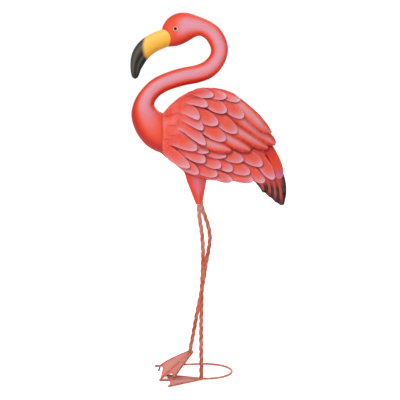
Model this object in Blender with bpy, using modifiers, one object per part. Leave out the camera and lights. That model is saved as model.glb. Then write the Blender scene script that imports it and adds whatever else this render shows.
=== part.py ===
"""Flamingo garden statue of painted sheet metal.

The bird faces -X, its left side faces -Y, and it stands on z = 0.
The figure is drawn from the side on a grid of small steps, x to the right and y
down from the top, and the drawing is scaled to the statue's height.
"""

import math

import bmesh
import bpy
import numpy as np
from mathutils import Vector

# Driving sizes, in metres
STATUE_HEIGHT = 1.10
ROD = 0.006                  # diameter of the legs' rods and of the ground rod
TWIST_PITCH = 0.070          # length of one full turn of a leg's three rods
FEATHER_SHEET = 0.0016       # thickness of the feather sheets
WEB_SHEET = 0.0014           # thickness of the webs of the feet
LOOP_RADIUS = 0.087          # of the ground rod's half circle, to its centre line
TAIL_HALF_WIDTH = 0.017      # half the depth of the tail at its root
TAIL_END_HALF_WIDTH = 0.0045
GAP = 0.0004                 # clearance between pieces that touch

# The side drawing: one step is about 3 mm on the statue
DRAWING_MIDDLE = 200.0
DRAWING_TOP = 12.2
DRAWING_GROUND = 375.4
STEP = STATUE_HEIGHT / (DRAWING_GROUND - DRAWING_TOP)
# The drawing shows the bird as seen from a little above its middle and not from far
# away, so it is widest near the ground and its middle lies low
DRAWING_SAG = 3.2
WIDTH_AT_GROUND = 1.013
WIDTH_AT_TOP = 0.978
FLANK_SCALE = 0.975          # the feathers are drawn at this scale on the flank
FLANK_LEVEL = 0.755          # about this share of the statue's height

# Colours
CORAL = (0.83, 0.13, 0.07)
PINK = (0.80, 0.30, 0.32)
ORANGE_BROWN = (0.50, 0.15, 0.07)
BILL_YELLOW = (0.95, 0.62, 0.12)
MAROON = (0.25, 0.03, 0.05)

# Head and neck: points over the back of the neck and under its throat, in pairs,
# each with the half width of the tube in steps
HEAD_AND_NECK = [
    ((161.8, 29.3), (168.0, 46.6), 8.2),
    ((163.6, 24.4), (172.4, 46.5), 8.8),
    ((167.6, 18.8), (176.8, 45.9), 9.4),
    ((173.3, 14.8), (181.6, 44.4), 9.6),
    ((180.2, 12.3), (186.6, 42.0), 9.4),
    ((187.8, 12.6), (191.0, 39.4), 9.0),
    ((197.2, 15.9), (195.2, 37.0), 8.5),
    ((206.6, 19.7), (199.6, 35.8), 8.0),
    ((214.2, 23.9), (203.6, 37.4), 7.8),
    ((219.7, 28.7), (206.8, 40.2), 7.7),
    ((224.0, 35.1), (209.3, 44.4), 7.7),
    ((227.0, 42.4), (210.8, 48.6), 7.7),
    ((228.0, 49.6), (210.9, 51.6), 7.7),
    ((226.6, 57.6), (209.9, 54.9), 7.7),
    ((223.2, 65.4), (207.6, 58.2), 7.7),
    ((217.6, 72.7), (204.4, 61.2), 7.8),
    ((209.6, 78.7), (200.2, 63.5), 7.8),
    ((198.4, 82.6), (193.6, 65.6), 7.9),
    ((186.8, 84.9), (183.0, 67.6), 8.0),
    ((175.6, 87.9), (171.6, 70.7), 8.1),
    ((167.0, 91.1), (160.0, 75.2), 8.3),
    ((160.6, 95.0), (150.4, 80.8), 8.5),
    ((156.3, 99.4), (142.4, 88.6), 8.8),
    ((154.4, 103.4), (136.4, 97.0), 9.2),
    ((154.6, 106.4), (133.0, 105.0), 9.6),
    ((157.4, 110.2), (131.4, 113.6), 10.2),
    ((160.0, 111.8), (132.6, 122.6), 10.9),
    ((161.2, 112.4), (137.0, 133.4), 11.7),
    ((161.9, 112.8), (144.6, 143.6), 12.5),
    ((162.3, 113.2), (153.0, 149.6), 13.2),
    ((162.6, 113.6), (162.6, 153.6), 13.8),
]
BILL_BULGE = 5.4             # how far the bill's base reaches back on the cheek

# Bill: points along its ridge and along its lower edge, in pairs
BILL = [
    ((161.8, 29.3), (168.0, 46.6), 8.2),
    ((156.2, 31.4), (162.8, 48.8), 7.2),
    ((150.4, 34.0), (157.4, 51.2), 6.4),
    ((145.4, 36.9), (152.6, 54.4), 6.0),
    ((140.9, 40.4), (148.6, 58.0), 5.7),
    ((136.6, 45.0), (145.6, 61.8), 5.3),
    ((133.2, 50.6), (143.6, 65.0), 4.9),
    ((131.1, 56.9), (142.0, 67.6), 4.4),
    ((130.2, 63.6), (140.6, 70.2), 3.8),
    ((130.6, 70.4), (139.6, 72.8), 3.1),
    ((132.0, 75.8), (138.3, 75.8), 2.3),
    ((134.2, 78.8), (136.2, 78.6), 1.0),
]

# Form of the body and the tail under the feathers: place, top, bottom and half width
BODY = [
    (162.8, 114.4, 153.4, 13.4),
    (166.0, 110.6, 156.4, 15.4),
    (171.0, 105.8, 160.8, 18.0),
    (178.0, 99.8, 167.0, 20.8),
    (188.0, 94.2, 174.4, 23.2),
    (200.0, 90.6, 178.4, 24.6),
    (214.0, 89.6, 180.4, 24.6),
    (228.0, 92.8, 180.8, 22.8),
    (240.0, 99.4, 180.4, 19.8),
    (250.0, 108.0, 181.4, 16.4),
    (259.0, 119.0, 186.0, 12.8),
    (266.0, 131.0, 191.0, 10.0),
    (274.0, 145.0, 198.0, 8.4),
    (284.0, 165.0, 205.0, 7.4),
]
BODY_FULLNESS = 2.5          # exponent of the body's section, 2 is an ellipse
BODY_LEAST_HALF = 1.3        # the body is never thinner than this, in steps
BODY_SIDES = 16
RIDGE_MARGIN = 0.015         # feathers end this share of the way short of the body's ridge

# Feather rows from front to back: the line of each feather from root to tip and
# its half width, all in steps, from the row's upper end to its lower end
ROWS = {
    "shoulder_feathers": (3.1, [
        ([(177, 99.5), (193, 92.5), (212, 95.5)], 4.9),
        ([(171, 106), (188, 99), (207, 106.5)], 5.6),
        ([(166, 113), (184, 107), (198.5, 119.5)], 5.9),
        ([(165, 119.5), (185, 116.5), (202.5, 130)], 5.6),
        ([(165, 127), (181, 124), (205.5, 145)], 5.8),
    ]),
    "covert_feathers": (2.5, [
        ([(203, 91), (226, 97)], 5.0),
        ([(204, 98.5), (226, 111.5)], 6.2),
        ([(196, 112), (217.5, 124)], 6.4),
        ([(200, 124), (225, 140)], 6.6),
    ]),
    "long_covert_feathers": (2.1, [
        ([(217, 92), (240, 99.5)], 4.6),
        ([(222, 101), (243, 117)], 6.4),
        ([(214, 115), (236.5, 132)], 6.6),
    ]),
    "flight_feathers": (1.7, [
        ([(234, 102), (271, 133)], 6.4),
        ([(231, 112), (275.5, 144.5)], 6.2),
        ([(222, 123), (268, 148)], 6.0),
        ([(214, 131), (250.5, 150.5)], 5.6),
        ([(203, 140.5), (231.5, 150.5)], 4.6),
    ]),
    "breast_feathers": (1.6, [
        ([(165, 137), (180, 142), (197, 150)], 6.8),
        ([(165, 148), (174, 155), (189.5, 167)], 5.6),
    ]),
    "first_belly_feathers": (1.5, [
        ([(186, 150), (205.5, 161.5)], 6.0),
        ([(184, 163), (198.5, 173.5)], 5.2),
    ]),
    "second_belly_feathers": (0.5, [
        ([(205, 153.5), (226.5, 156.0)], 3.8),
        ([(203, 157), (221, 167)], 6.0),
        ([(198, 167), (217.5, 175)], 5.6),
    ]),
    "third_belly_feathers": (0.3, [
        ([(224, 154.5), (243.5, 160.5)], 5.4),
        ([(218, 161), (232.5, 170.5)], 5.4),
        ([(212, 172), (232, 180)], 4.6),
    ]),
    "fourth_belly_feathers": (0.2, [
        ([(243, 153), (262.5, 165)], 6.2),
        ([(231, 165), (250, 173)], 5.8),
        ([(230, 175), (253, 180.5)], 4.4),
    ]),
    "last_belly_feathers": (0.4, [
        ([(257, 155), (274, 179)], 5.8),
        ([(247, 168), (264.5, 182)], 5.4),
    ]),
    "tail_covert": (0.0, [
        ([(268, 146), (277, 160), (281, 178)], 4.6),
    ]),
}
RISE = 3.0                   # a feather's tip stands this much higher than its root
CROWN = 0.9                  # height of a feather's crown over its edges
ROOT_CROWN = 0.3             # share of the crown at a feather's root
ROOT_NARROWING = 0.14        # a feather is this share narrower at its root
WIDEST_FROM_ROOT = 0.625     # and widest at this share of its length
FEATHER_STATIONS = (0.0, 0.36, 0.7, 1.0)
# Columns of a feather's sheet: place across it, and how far along it the sheet reaches
FEATHER_COLUMNS = ((-1.0, 0.66), (-0.52, 0.95), (0.0, 1.0), (0.52, 0.95), (1.0, 0.66))

# The body is cut flat along this line, and the tail fan stands on the cut
BODY_CUT = ((249.4, 181.0), (268.6, 148.0))
TAIL_ROOT = [(250.6, 180.4), (268.6, 149.4)]
TAIL_TIP = [(256.0, 183.4), (262.2, 190.4), (268.8, 194.8), (275.0, 199.6), (281.4, 203.2), (286.6, 188.4)]
TAIL_FLUTES = 5
TAIL_SCALLOP = 2.6           # the flutes' ends stand out by this, in steps
TAIL_FLUTE_DEPTH = 0.0022
TAIL_EDGE = 0.12             # how full the fan's front and rear edges are
TAIL_THINNING = 0.35         # the fan loses this share of its depth along it
TAIL_STATIONS = (0.0, 0.3, 0.6, 0.85, 1.0)
COLUMNS_PER_FLUTE = 4

# Thighs: sheet cones that hang under the body
THIGH_TOP = ((183.4, 171.6), (207.4, 176.0))
LEFT_THIGH_TIP = ((196.0, 203.8), (201.2, 203.4))
RIGHT_THIGH_TIP = ((198.8, 201.0), (203.0, 201.0))
THIGH_SPREAD = 0.017         # each thigh's distance from the middle of the body
THIGH_HALF_DEPTH = 0.0125    # half its width across the bird, at the top
THIGH_STATIONS = (0.0, 0.3, 0.65, 1.0)
THIGH_SIDES = 14

# Legs, feet and ground rod are given in steps from the drawing's middle: ahead of or
# behind it, to the left or right, and up from a rod that lies on the ground

# Legs: the line of each set of three rods, below the end of the thigh
STANDING_LEG = [
    (-0.6, -6.8, 161.5), (0.8, -7.8, 152.5), (2.1, -8.9, 142.3), (3.0, -10.2, 126.1), (2.7, -11.2, 109.6),
    (1.9, -12.2, 94.1), (1.5, -13.2, 74.3), (1.1, -14.2, 56.5), (1.1, -14.8, 32.0), (1.3, -15.2, 12.2),
]
RAISED_LEG = [
    (2.5, 6.4, 167.5), (5.0, 6.8, 160.5), (8.4, 7.3, 150.0), (10.0, 7.3, 138.0), (9.2, 7.3, 130.8),
    (6.1, 7.3, 112.8), (4.0, 7.6, 98.8), (1.0, 7.6, 81.9), (-3.0, 7.6, 61.7), (-5.9, 7.9, 45.6),
    (-8.9, 7.9, 29.4),
]
STRANDS = 3
LEG_STATIONS_PER_TURN = 8
STRAND_SIDES = (-60, 0, 60)  # corners of a rod's outer face, in degrees
STRAND_WAIST = 0.4           # how far the groove between two rods is filled, in radii
LEG_GAP = 0.0016             # from a leg's end to the thigh and to the foot

# Feet: the heel and the tips of the far, middle and near toes
STANDING_HEEL = (1.3, -15.2, 0.0)
STANDING_TOES = ((-34.3, -3.0, 0.0), (-40.4, -21.2, 0.0), (-30.7, -42.1, 0.0))
RAISED_HEEL = (-10.1, 8.3, 21.5)
RAISED_TOES = ((-42.4, 14.2, 0.0), (-39.8, -18.5, 0.0), (-26.4, -20.5, 3.0))
FOOT_STATIONS = (0.0, 0.5, 1.0)
# Columns of a toe: place across its rod, and the half height there, as shares
TOE_COLUMNS = ((-0.5, 0.5), (-0.25, 1.0), (0.25, 1.0), (0.5, 0.5))
TOE_SPACING = 0.9            # of the toes' roots at the heel, in rods
TOE_ROOT_WIDTH = 0.55        # of a toe at the heel, in rods
WEB_COLUMNS = (0.22, 0.5, 0.78)
WEB_ROOT = (0.3, 0.7)        # a web's share of the space between two toes' roots
TOE_END = 0.95               # the webs end at this share of the toes
WEB_NOTCH = 0.82             # and are cut back to this share between them

# Ground rod: the half circle's middle from the heel, and where its far arm runs,
# ahead of the half circle and in from its far side, in steps
LOOP_AHEAD = 2.6
FAR_ARM = ((-16.5, 2.1), (-51.0, 9.2))
LOOP_STATIONS = 10
LOOP_START = 0.2             # the rod begins this many rods behind the heel


def side(point):
    """A point of the side drawing on the bird's middle plane."""
    level = (DRAWING_GROUND - point[1]) / (DRAWING_GROUND - DRAWING_TOP)
    x = (point[0] - DRAWING_MIDDLE) * STEP * (WIDTH_AT_GROUND + (WIDTH_AT_TOP - WIDTH_AT_GROUND) * level)
    z = STATUE_HEIGHT * level + 4 * DRAWING_SAG * STEP * level * (1 - level)
    return x, z


def flank(point):
    """A point of the side drawing as it is laid on the flank."""
    x, z = side(point)
    level = FLANK_LEVEL * STATUE_HEIGHT
    return x * FLANK_SCALE, level + (z - level) * FLANK_SCALE


def material(name, colour, roughness=0.45, metallic=0.0):
    made = bpy.data.materials.new(name)
    made.use_nodes = True
    shader = made.node_tree.nodes["Principled BSDF"]
    shader.inputs["Base Color"].default_value = (*colour, 1.0)
    shader.inputs["Roughness"].default_value = roughness
    shader.inputs["Metallic"].default_value = metallic
    made.diffuse_color = (*colour, 1.0)
    return made


def new_object(name, mesh, colour):
    made = bpy.data.objects.new(name, mesh)
    mesh.materials.append(material(name + "_paint", colour))
    statue.objects.link(made)
    made.parent = stand
    return made


def loft(name, rings, colour, caps=("point", "point")):
    """A closed body through rings of points, with a fan or a flat strip as each end."""
    build = bmesh.new()
    loops = [[build.verts.new(p) for p in ring] for ring in rings]
    count = len(rings[0])
    for first, second in zip(loops, loops[1:]):
        for i in range(count):
            j = (i + 1) % count
            build.faces.new((first[i], first[j], second[j], second[i]))
    for loop, kind in ((loops[0], caps[0]), (loops[-1], caps[1])):
        if kind == "point":
            middle = sum((v.co for v in loop), Vector()) / count
            centre = build.verts.new(middle)
            for i in range(count):
                build.faces.new((loop[i], loop[(i + 1) % count], centre))
        else:
            half = count // 2
            for i in range(half - 1):
                build.faces.new((loop[i], loop[i + 1], loop[count - 2 - i], loop[count - 1 - i]))
    bmesh.ops.recalc_face_normals(build, faces=build.faces)
    mesh = bpy.data.meshes.new(name)
    build.to_mesh(mesh)
    build.free()
    mesh.shade_smooth()
    mesh.set_sharp_from_angle(angle=math.radians(40))
    return new_object(name, mesh, colour)


def tube_ring(top, bottom, half_width, sides=12, bulge=0.0, slide=0.0):
    """An oval ring between two points of the side drawing."""
    top = Vector((top[0], 0.0, top[1]))
    bottom = Vector((bottom[0], 0.0, bottom[1]))
    centre = (top + bottom) / 2
    up = (top - bottom) / 2
    back = Vector((up.z, 0.0, -up.x)).normalized()
    ring = []
    for i in range(sides):
        turn = 2 * math.pi * i / sides
        out = math.cos(turn)
        point = centre + up * math.sin(turn) + Vector((0, half_width * out, 0))
        ring.append(point + back * (slide + bulge * abs(out) ** 1.5))
    return ring


def head_and_neck():
    rings = []
    for i, (top, bottom, half) in enumerate(HEAD_AND_NECK):
        bulge = BILL_BULGE * STEP * max(0.0, 1 - i / 3) ** 1.4
        slide = GAP if i == 0 else 0.0
        rings.append(tube_ring(side(top), side(bottom), half * STEP, 12, bulge, slide))
    loft("head_and_neck", rings, CORAL)


def bill():
    rings = []
    for i, (top, bottom, half) in enumerate(BILL):
        bulge = BILL_BULGE * STEP * max(0.0, 1 - i / 2.5) ** 1.4
        rings.append(tube_ring(side(top), side(bottom), half * STEP, 12, bulge))
    loft("bill", rings, BILL_YELLOW)


def smooth_table(places, values, x):
    """A smooth curve through a table, read at x."""
    i = int(np.clip(np.searchsorted(places, x) - 1, 0, len(places) - 2))
    slopes = np.gradient(values, places)
    width = places[i + 1] - places[i]
    t = (x - places[i]) / width
    a = 2 * t ** 3 - 3 * t ** 2 + 1
    b = t ** 3 - 2 * t ** 2 + t
    c = -2 * t ** 3 + 3 * t ** 2
    d = t ** 3 - t ** 2
    if t < 0:
        return values[i] + slopes[i] * (x - places[i])
    if t > 1:
        return values[i + 1] + slopes[i + 1] * (x - places[i + 1])
    return a * values[i] + b * width * slopes[i] + c * values[i + 1] + d * width * slopes[i + 1]


BODY_X = np.array([side((row[0], (row[1] + row[2]) / 2))[0] for row in BODY])
BODY_TOP = np.array([side(row[0:2])[1] for row in BODY])
BODY_BOTTOM = np.array([side((row[0], row[2]))[1] for row in BODY])
BODY_HALF = np.array([row[3] * STEP for row in BODY])


def body_form(x):
    """Top, bottom and half width of the body at a place along it."""
    top = smooth_table(BODY_X, BODY_TOP, x)
    bottom = smooth_table(BODY_X, BODY_BOTTOM, x)
    half = max(smooth_table(BODY_X, BODY_HALF, x), BODY_LEAST_HALF * STEP)
    return top, bottom, half


def body_point(x, turn):
    """A point of the body's left side: turn runs from -90 degrees below to 90 above."""
    top, bottom, half = body_form(x)
    power = 2 / BODY_FULLNESS
    rise = math.copysign(abs(math.sin(turn)) ** power, math.sin(turn))
    out = abs(math.cos(turn)) ** power
    return Vector((x, -half * out, (top + bottom) / 2 + (top - bottom) / 2 * rise))


def body_turn(x, z):
    """The turn at which the body's left side passes through a height."""
    top, bottom, _ = body_form(x)
    share = np.clip((z - (top + bottom) / 2) / ((top - bottom) / 2), RIDGE_MARGIN - 1, 1 - RIDGE_MARGIN)
    return math.asin(math.copysign(abs(share) ** (BODY_FULLNESS / 2), share))


def body_normal(x, turn):
    small = 0.002
    along = body_point(x + small, turn) - body_point(x - small, turn)
    around = body_point(x, turn + small) - body_point(x, turn - small)
    return along.cross(around).normalized()


def body():
    rings = []
    steps = BODY_SIDES // 2
    for x in BODY_X:
        left = [body_point(x, -math.pi / 2 + math.pi * i / steps) for i in range(steps + 1)]
        right = [Vector((p.x, -p.y, p.z)) for p in left[-2:0:-1]]
        for i in (0, -1):
            left[i].y = 0.0
        rings.append(left + right)
    made = loft("body", rings, MAROON)
    cut = bmesh.new()
    cut.from_mesh(made.data)
    low_x, low_z = side(BODY_CUT[0])
    high_x, high_z = side(BODY_CUT[1])
    outward = Vector((high_z - low_z, 0, low_x - high_x)).normalized()
    whole = cut.verts[:] + cut.edges[:] + cut.faces[:]
    bmesh.ops.bisect_plane(cut, geom=whole, plane_co=(low_x, 0, low_z), plane_no=outward, clear_outer=True)
    rim = [edge for edge in cut.edges if edge.is_boundary]
    bmesh.ops.edgeloop_fill(cut, edges=rim)
    bmesh.ops.recalc_face_normals(cut, faces=cut.faces)
    cut.to_mesh(made.data)
    cut.free()


def on_spine(spine, share):
    steps = np.linspace(0, 1, len(spine))
    return [float(np.interp(share, steps, [p[k] for p in spine])) for k in (0, 1)]


def feather_point(feather, across, along):
    """A point of one feather on the drawing."""
    spine, half = feather
    x, y = on_spine(spine, along)
    ahead = on_spine(spine, min(along + 0.02, 1.0))
    behind = on_spine(spine, max(along - 0.02, 0.0))
    run = Vector((ahead[0] - behind[0], ahead[1] - behind[1])).normalized()
    narrowing = ROOT_NARROWING * (1 - math.sin(math.pi / 2 * along / WIDEST_FROM_ROOT))
    width = half * across * (1 - narrowing)
    return x - run.y * width, y + run.x * width


def feather_row(name, level, feathers, hand):
    """A sheet whose end is cut into feathers, laid on the left or right flank."""
    columns = []
    for number, feather in enumerate(feathers):
        for column, (across, reach) in enumerate(FEATHER_COLUMNS):
            line = []
            for along in FEATHER_STATIONS:
                share = along * reach
                line.append((feather_point(feather, across, share), share, 1 - across ** 2))
            if column == 0 and number > 0:
                before = columns.pop()
                line = [(((a[0][0] + b[0][0]) / 2, (a[0][1] + b[0][1]) / 2), b[1], b[2])
                        for a, b in zip(before, line)]
            columns.append(line)
    build = bmesh.new()
    across_count = len(columns) - 1
    along_count = len(FEATHER_STATIONS) - 1
    bmesh.ops.create_grid(build, x_segments=across_count, y_segments=along_count, size=1)
    for vert in build.verts:
        column = columns[round((vert.co.x + 1) / 2 * across_count)]
        place, share, crown = column[round((vert.co.y + 1) / 2 * along_count)]
        x, z = flank(place)
        turn = body_turn(x, z)
        lift = (level + RISE * share + CROWN * crown * min(1.0, ROOT_CROWN + share)) * STEP
        point = body_point(x, turn) + body_normal(x, turn) * (lift + GAP + FEATHER_SHEET)
        vert.co = Vector((point.x, -hand * point.y, point.z))
    build.normal_update()
    faces_in = sum(face.calc_area() * face.normal.y for face in build.faces) * hand < 0
    if faces_in:
        bmesh.ops.reverse_faces(build, faces=build.faces)
    mesh = bpy.data.meshes.new(name)
    build.to_mesh(mesh)
    build.free()
    made = new_object(name, mesh, PINK)
    solid = made.modifiers.new("Sheet", "SOLIDIFY")
    solid.thickness = FEATHER_SHEET
    solid.offset = -1
    return made


def fan(name, roots, tips, halves, shares, colour, lean=(0.0, 1.0, 0.0)):
    """A sheet with ribs: columns of points from root to tip, each with its half thickness."""
    lean = Vector(lean)
    rings = []
    for share in shares:
        left = []
        right = []
        for root, tip, half in zip(roots, tips, halves):
            point = Vector(root).lerp(Vector(tip), share)
            left.append(point - lean * half(share))
            right.append(point + lean * half(share))
        rings.append(left + right[::-1])
    return loft(name, rings, colour, ("strip", "strip"))


def tail():
    columns = TAIL_FLUTES * COLUMNS_PER_FLUTE
    roots = []
    tips = []
    halves = []
    for i in range(columns + 1):
        share = i / columns
        root = [np.interp(share, (0, 1), [p[k] for p in TAIL_ROOT]) for k in (0, 1)]
        places = np.linspace(0, 1, len(TAIL_TIP))
        tip = [np.interp(share, places, [p[k] for p in TAIL_TIP]) for k in (0, 1)]
        wave = abs(math.sin(math.pi * share * TAIL_FLUTES))
        out = Vector((tip[0] - root[0], tip[1] - root[1])).normalized() * TAIL_SCALLOP * wave
        x, z = side(root)
        roots.append((x, 0.0, z))
        x, z = side((tip[0] + out.x, tip[1] + out.y))
        tips.append((x, 0.0, z))
        taper = math.sin(math.pi * (TAIL_EDGE + (1 - 2 * TAIL_EDGE) * share))

        def half(along, taper=taper, wave=wave):
            depth = TAIL_HALF_WIDTH + (TAIL_END_HALF_WIDTH - TAIL_HALF_WIDTH) * along
            flute = TAIL_FLUTE_DEPTH * wave * min(1, TAIL_STATIONS[1] + along)
            return depth * taper * (1 - TAIL_THINNING * along) + flute

        halves.append(half)
    fan("tail", roots, tips, halves, TAIL_STATIONS, CORAL)


def thigh(name, hand, tip):
    """A cone whose top is cut to the belly that it hangs from."""
    rings = []
    for share in THIGH_STATIONS:
        front = Vector(THIGH_TOP[0]).lerp(Vector(tip[0]), share)
        rear = Vector(THIGH_TOP[1]).lerp(Vector(tip[1]), share)
        front_x, front_z = side(front)
        rear_x, rear_z = side(rear)
        half_depth = THIGH_HALF_DEPTH + ((rear_x - front_x) / 2 - THIGH_HALF_DEPTH) * share ** 2
        ring = []
        for i in range(THIGH_SIDES):
            turn = 2 * math.pi * i / THIGH_SIDES
            along = (1 + math.cos(turn)) / 2
            x = front_x + (rear_x - front_x) * along
            z = front_z + (rear_z - front_z) * along
            y = hand * THIGH_SPREAD + half_depth * math.sin(turn)
            if share == 0.0:
                z = lower_at(x, abs(y)) - GAP * 2
            ring.append(Vector((x, y, z)))
        rings.append(ring)
    loft(name, rings, CORAL, ("strip", "point"))


def lower_at(x, across):
    """Height at which the body's underside is this far from the middle."""
    top, bottom, half = body_form(x)
    share = min(across / half, 1.0) ** BODY_FULLNESS
    return (top + bottom) / 2 - (top - bottom) / 2 * (1 - share) ** (1 / BODY_FULLNESS)


def on_ground(point):
    """A point of the legs or feet, over the middle of a rod that lies on the ground."""
    return Vector(point) * STEP + Vector((0, 0, ROD / 2))


def strand_section(radius):
    """Outline of three rods that touch, with a groove between each two."""
    reach = radius / math.sin(math.pi / STRANDS)
    outline = []
    for number in range(STRANDS):
        middle = 2 * math.pi * number / STRANDS
        for lean in STRAND_SIDES:
            turn = middle + math.radians(lean)
            outline.append((reach * math.cos(middle) + radius * math.cos(turn),
                            reach * math.sin(middle) + radius * math.sin(turn)))
        groove = middle + math.pi / STRANDS
        depth = reach * math.cos(math.pi / STRANDS) + STRAND_WAIST * radius
        outline.append((depth * math.cos(groove), depth * math.sin(groove)))
    return outline


def leg(name, pose, hand, thigh_tip, heel):
    """Three rods twisted together, as one body with grooves between them."""
    front, bottom = side(thigh_tip[0])
    rear = side(thigh_tip[1])[0]
    top = Vector(((front + rear) / 2, hand * THIGH_SPREAD, bottom - LEG_GAP))
    foot = on_ground(heel) + Vector((0, 0, ROD / 2 + LEG_GAP))
    line = [top] + [on_ground(p) for p in pose] + [foot]
    lengths = [0.0]
    for a, b in zip(line, line[1:]):
        lengths.append(lengths[-1] + (b - a).length)
    places = np.array(lengths)
    turns = lengths[-1] / TWIST_PITCH
    stations = max(8, round(turns * LEG_STATIONS_PER_TURN))
    section = strand_section(ROD / 2)
    rings = []
    for i in range(stations + 1):
        run = lengths[-1] * i / stations
        point = Vector([smooth_table(places, np.array([p[k] for p in line]), run) for k in range(3)])
        ahead = Vector([smooth_table(places, np.array([p[k] for p in line]), run + 0.001) for k in range(3)])
        course = (ahead - point).normalized()
        first = course.cross(Vector((0, 1, 0))).normalized()
        second = course.cross(first)
        turn = 2 * math.pi * run / TWIST_PITCH
        u = first * math.cos(turn) + second * math.sin(turn)
        v = second * math.cos(turn) - first * math.sin(turn)
        rings.append([point + u * a + v * b for a, b in section])
    loft(name, rings, ORANGE_BROWN)


def foot(name, heel, toes):
    """Three toe rods with a sheet web between them."""
    heel = on_ground(heel)
    tips = [on_ground(p) for p in toes]
    plane = (tips[0] - heel).cross(tips[2] - heel).normalized()
    if plane.z < 0:
        plane = -plane
    roots = []
    ends = []
    halves = []
    spacing = ROD * TOE_SPACING
    across = (tips[2] - tips[0]).normalized()
    for number, tip in enumerate(tips):
        course = (tip - heel).normalized()
        beside = plane.cross(course).normalized()
        if beside.dot(across) < 0:
            beside = -beside
        offset = (number - 1) * spacing
        for shift, thick in TOE_COLUMNS:
            roots.append(heel + across * (offset + shift * ROD * TOE_ROOT_WIDTH))
            ends.append(tip + beside * shift * ROD)
            halves.append(lambda share, thick=thick: ROD / 2 * thick)
        if number < 2:
            after = tips[number + 1]
            for shift in WEB_COLUMNS:
                web = tip.lerp(after, shift)
                reach = WEB_NOTCH + (TOE_END - WEB_NOTCH) * (2 * abs(shift - 0.5)) ** 2
                root = WEB_ROOT[0] + (WEB_ROOT[1] - WEB_ROOT[0]) * shift
                roots.append(heel + across * (offset + spacing * root))
                ends.append(heel + (web - heel) * reach)
                halves.append(lambda share: WEB_SHEET / 2)
    fan(name, roots, ends, halves, FOOT_STATIONS, ORANGE_BROWN, plane)


def ground_rod():
    """One bent rod: a short arm, a half circle and a long arm."""
    curve = bpy.data.curves.new("ground_rod", "CURVE")
    curve.dimensions = "3D"
    curve.bevel_depth = ROD / 2
    curve.bevel_resolution = 2
    curve.use_fill_caps = True
    heel = on_ground(STANDING_HEEL)
    middle = Vector((heel.x + LOOP_AHEAD * STEP, heel.y + LOOP_RADIUS))
    points = [Vector((heel.x + ROD * LOOP_START + GAP, heel.y))]
    for i in range(LOOP_STATIONS + 1):
        turn = -math.pi / 2 + math.pi * i / LOOP_STATIONS
        points.append(middle + Vector((math.cos(turn), math.sin(turn))) * LOOP_RADIUS)
    for ahead, inward in FAR_ARM:
        points.append(middle + Vector((ahead * STEP, LOOP_RADIUS - inward * STEP)))
    spline = curve.splines.new("POLY")
    spline.points.add(len(points) - 1)
    for place, point in zip(spline.points, points):
        place.co = (point[0], point[1], ROD / 2, 1.0)
    made = bpy.data.objects.new("ground_rod", curve)
    curve.materials.append(material("ground_rod_paint", ORANGE_BROWN))
    statue.objects.link(made)
    made.parent = stand


for old in list(bpy.data.objects):
    bpy.data.objects.remove(old)
statue = bpy.data.collections.new("flamingo_statue")
bpy.context.scene.collection.children.link(statue)
stand = bpy.data.objects.new("statue_origin", None)
statue.objects.link(stand)

head_and_neck()
bill()
body()
for hand, hand_name in ((-1, "left"), (1, "right")):
    for row, (row_level, row_feathers) in ROWS.items():
        feather_row(hand_name + "_" + row, row_level, row_feathers, hand)
tail()
thigh("left_thigh", -1, LEFT_THIGH_TIP)
thigh("right_thigh", 1, RIGHT_THIGH_TIP)
leg("left_leg", STANDING_LEG, -1, LEFT_THIGH_TIP, STANDING_HEEL)
leg("right_leg", RAISED_LEG, 1, RIGHT_THIGH_TIP, RAISED_HEEL)
foot("left_foot", STANDING_HEEL, STANDING_TOES)
foot("right_foot", RAISED_HEEL, RAISED_TOES)
ground_rod()

# The origin is on the ground, under the middle of the statue's box
bpy.context.view_layer.update()
graph = bpy.context.evaluated_depsgraph_get()
corners = []
for made in statue.objects:
    if made.type in {"MESH", "CURVE"}:
        corners.extend(vert.co.copy() for vert in made.evaluated_get(graph).to_mesh().vertices)
middle = [(min(p[k] for p in corners) + max(p[k] for p in corners)) / 2 for k in (0, 1)]
stand.location = (-middle[0], -middle[1], -min(p[2] for p in corners))
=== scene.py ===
import math

import bpy
import numpy as np
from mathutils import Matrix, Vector


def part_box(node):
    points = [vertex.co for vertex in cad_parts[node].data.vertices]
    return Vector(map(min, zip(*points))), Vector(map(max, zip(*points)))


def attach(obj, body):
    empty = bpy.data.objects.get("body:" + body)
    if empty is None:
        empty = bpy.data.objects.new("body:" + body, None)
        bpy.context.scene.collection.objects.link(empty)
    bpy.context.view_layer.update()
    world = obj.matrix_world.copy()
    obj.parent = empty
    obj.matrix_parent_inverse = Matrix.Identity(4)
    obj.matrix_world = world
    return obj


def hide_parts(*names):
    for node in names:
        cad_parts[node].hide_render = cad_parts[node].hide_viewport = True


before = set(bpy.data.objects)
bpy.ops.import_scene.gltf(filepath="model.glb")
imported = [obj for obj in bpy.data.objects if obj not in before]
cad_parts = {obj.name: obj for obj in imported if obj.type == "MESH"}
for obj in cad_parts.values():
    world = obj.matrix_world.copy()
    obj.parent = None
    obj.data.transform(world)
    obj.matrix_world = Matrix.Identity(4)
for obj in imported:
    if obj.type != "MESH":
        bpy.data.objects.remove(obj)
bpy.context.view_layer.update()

# The head and neck are one tube of sheet steel, pressed in two halves that are welded
# along the middle, from the bill to the seam at the chest. The paint is brushed pink
# along the sides, coral over the back of the neck and under the throat.
HEIGHT = 1.10
DRAWING_MIDDLE = 200.0
DRAWING_TOP = 12.2
DRAWING_GROUND = 375.4
STEP = HEIGHT / (DRAWING_GROUND - DRAWING_TOP)
DRAWING_SAG = 3.2
WIDTH_AT_GROUND = 1.013
WIDTH_AT_TOP = 0.978
BILL_FRONT = (130.2, 63.6)
MIDDLE_Y = (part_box("head_and_neck")[0].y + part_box("head_and_neck")[1].y) / 2
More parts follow.
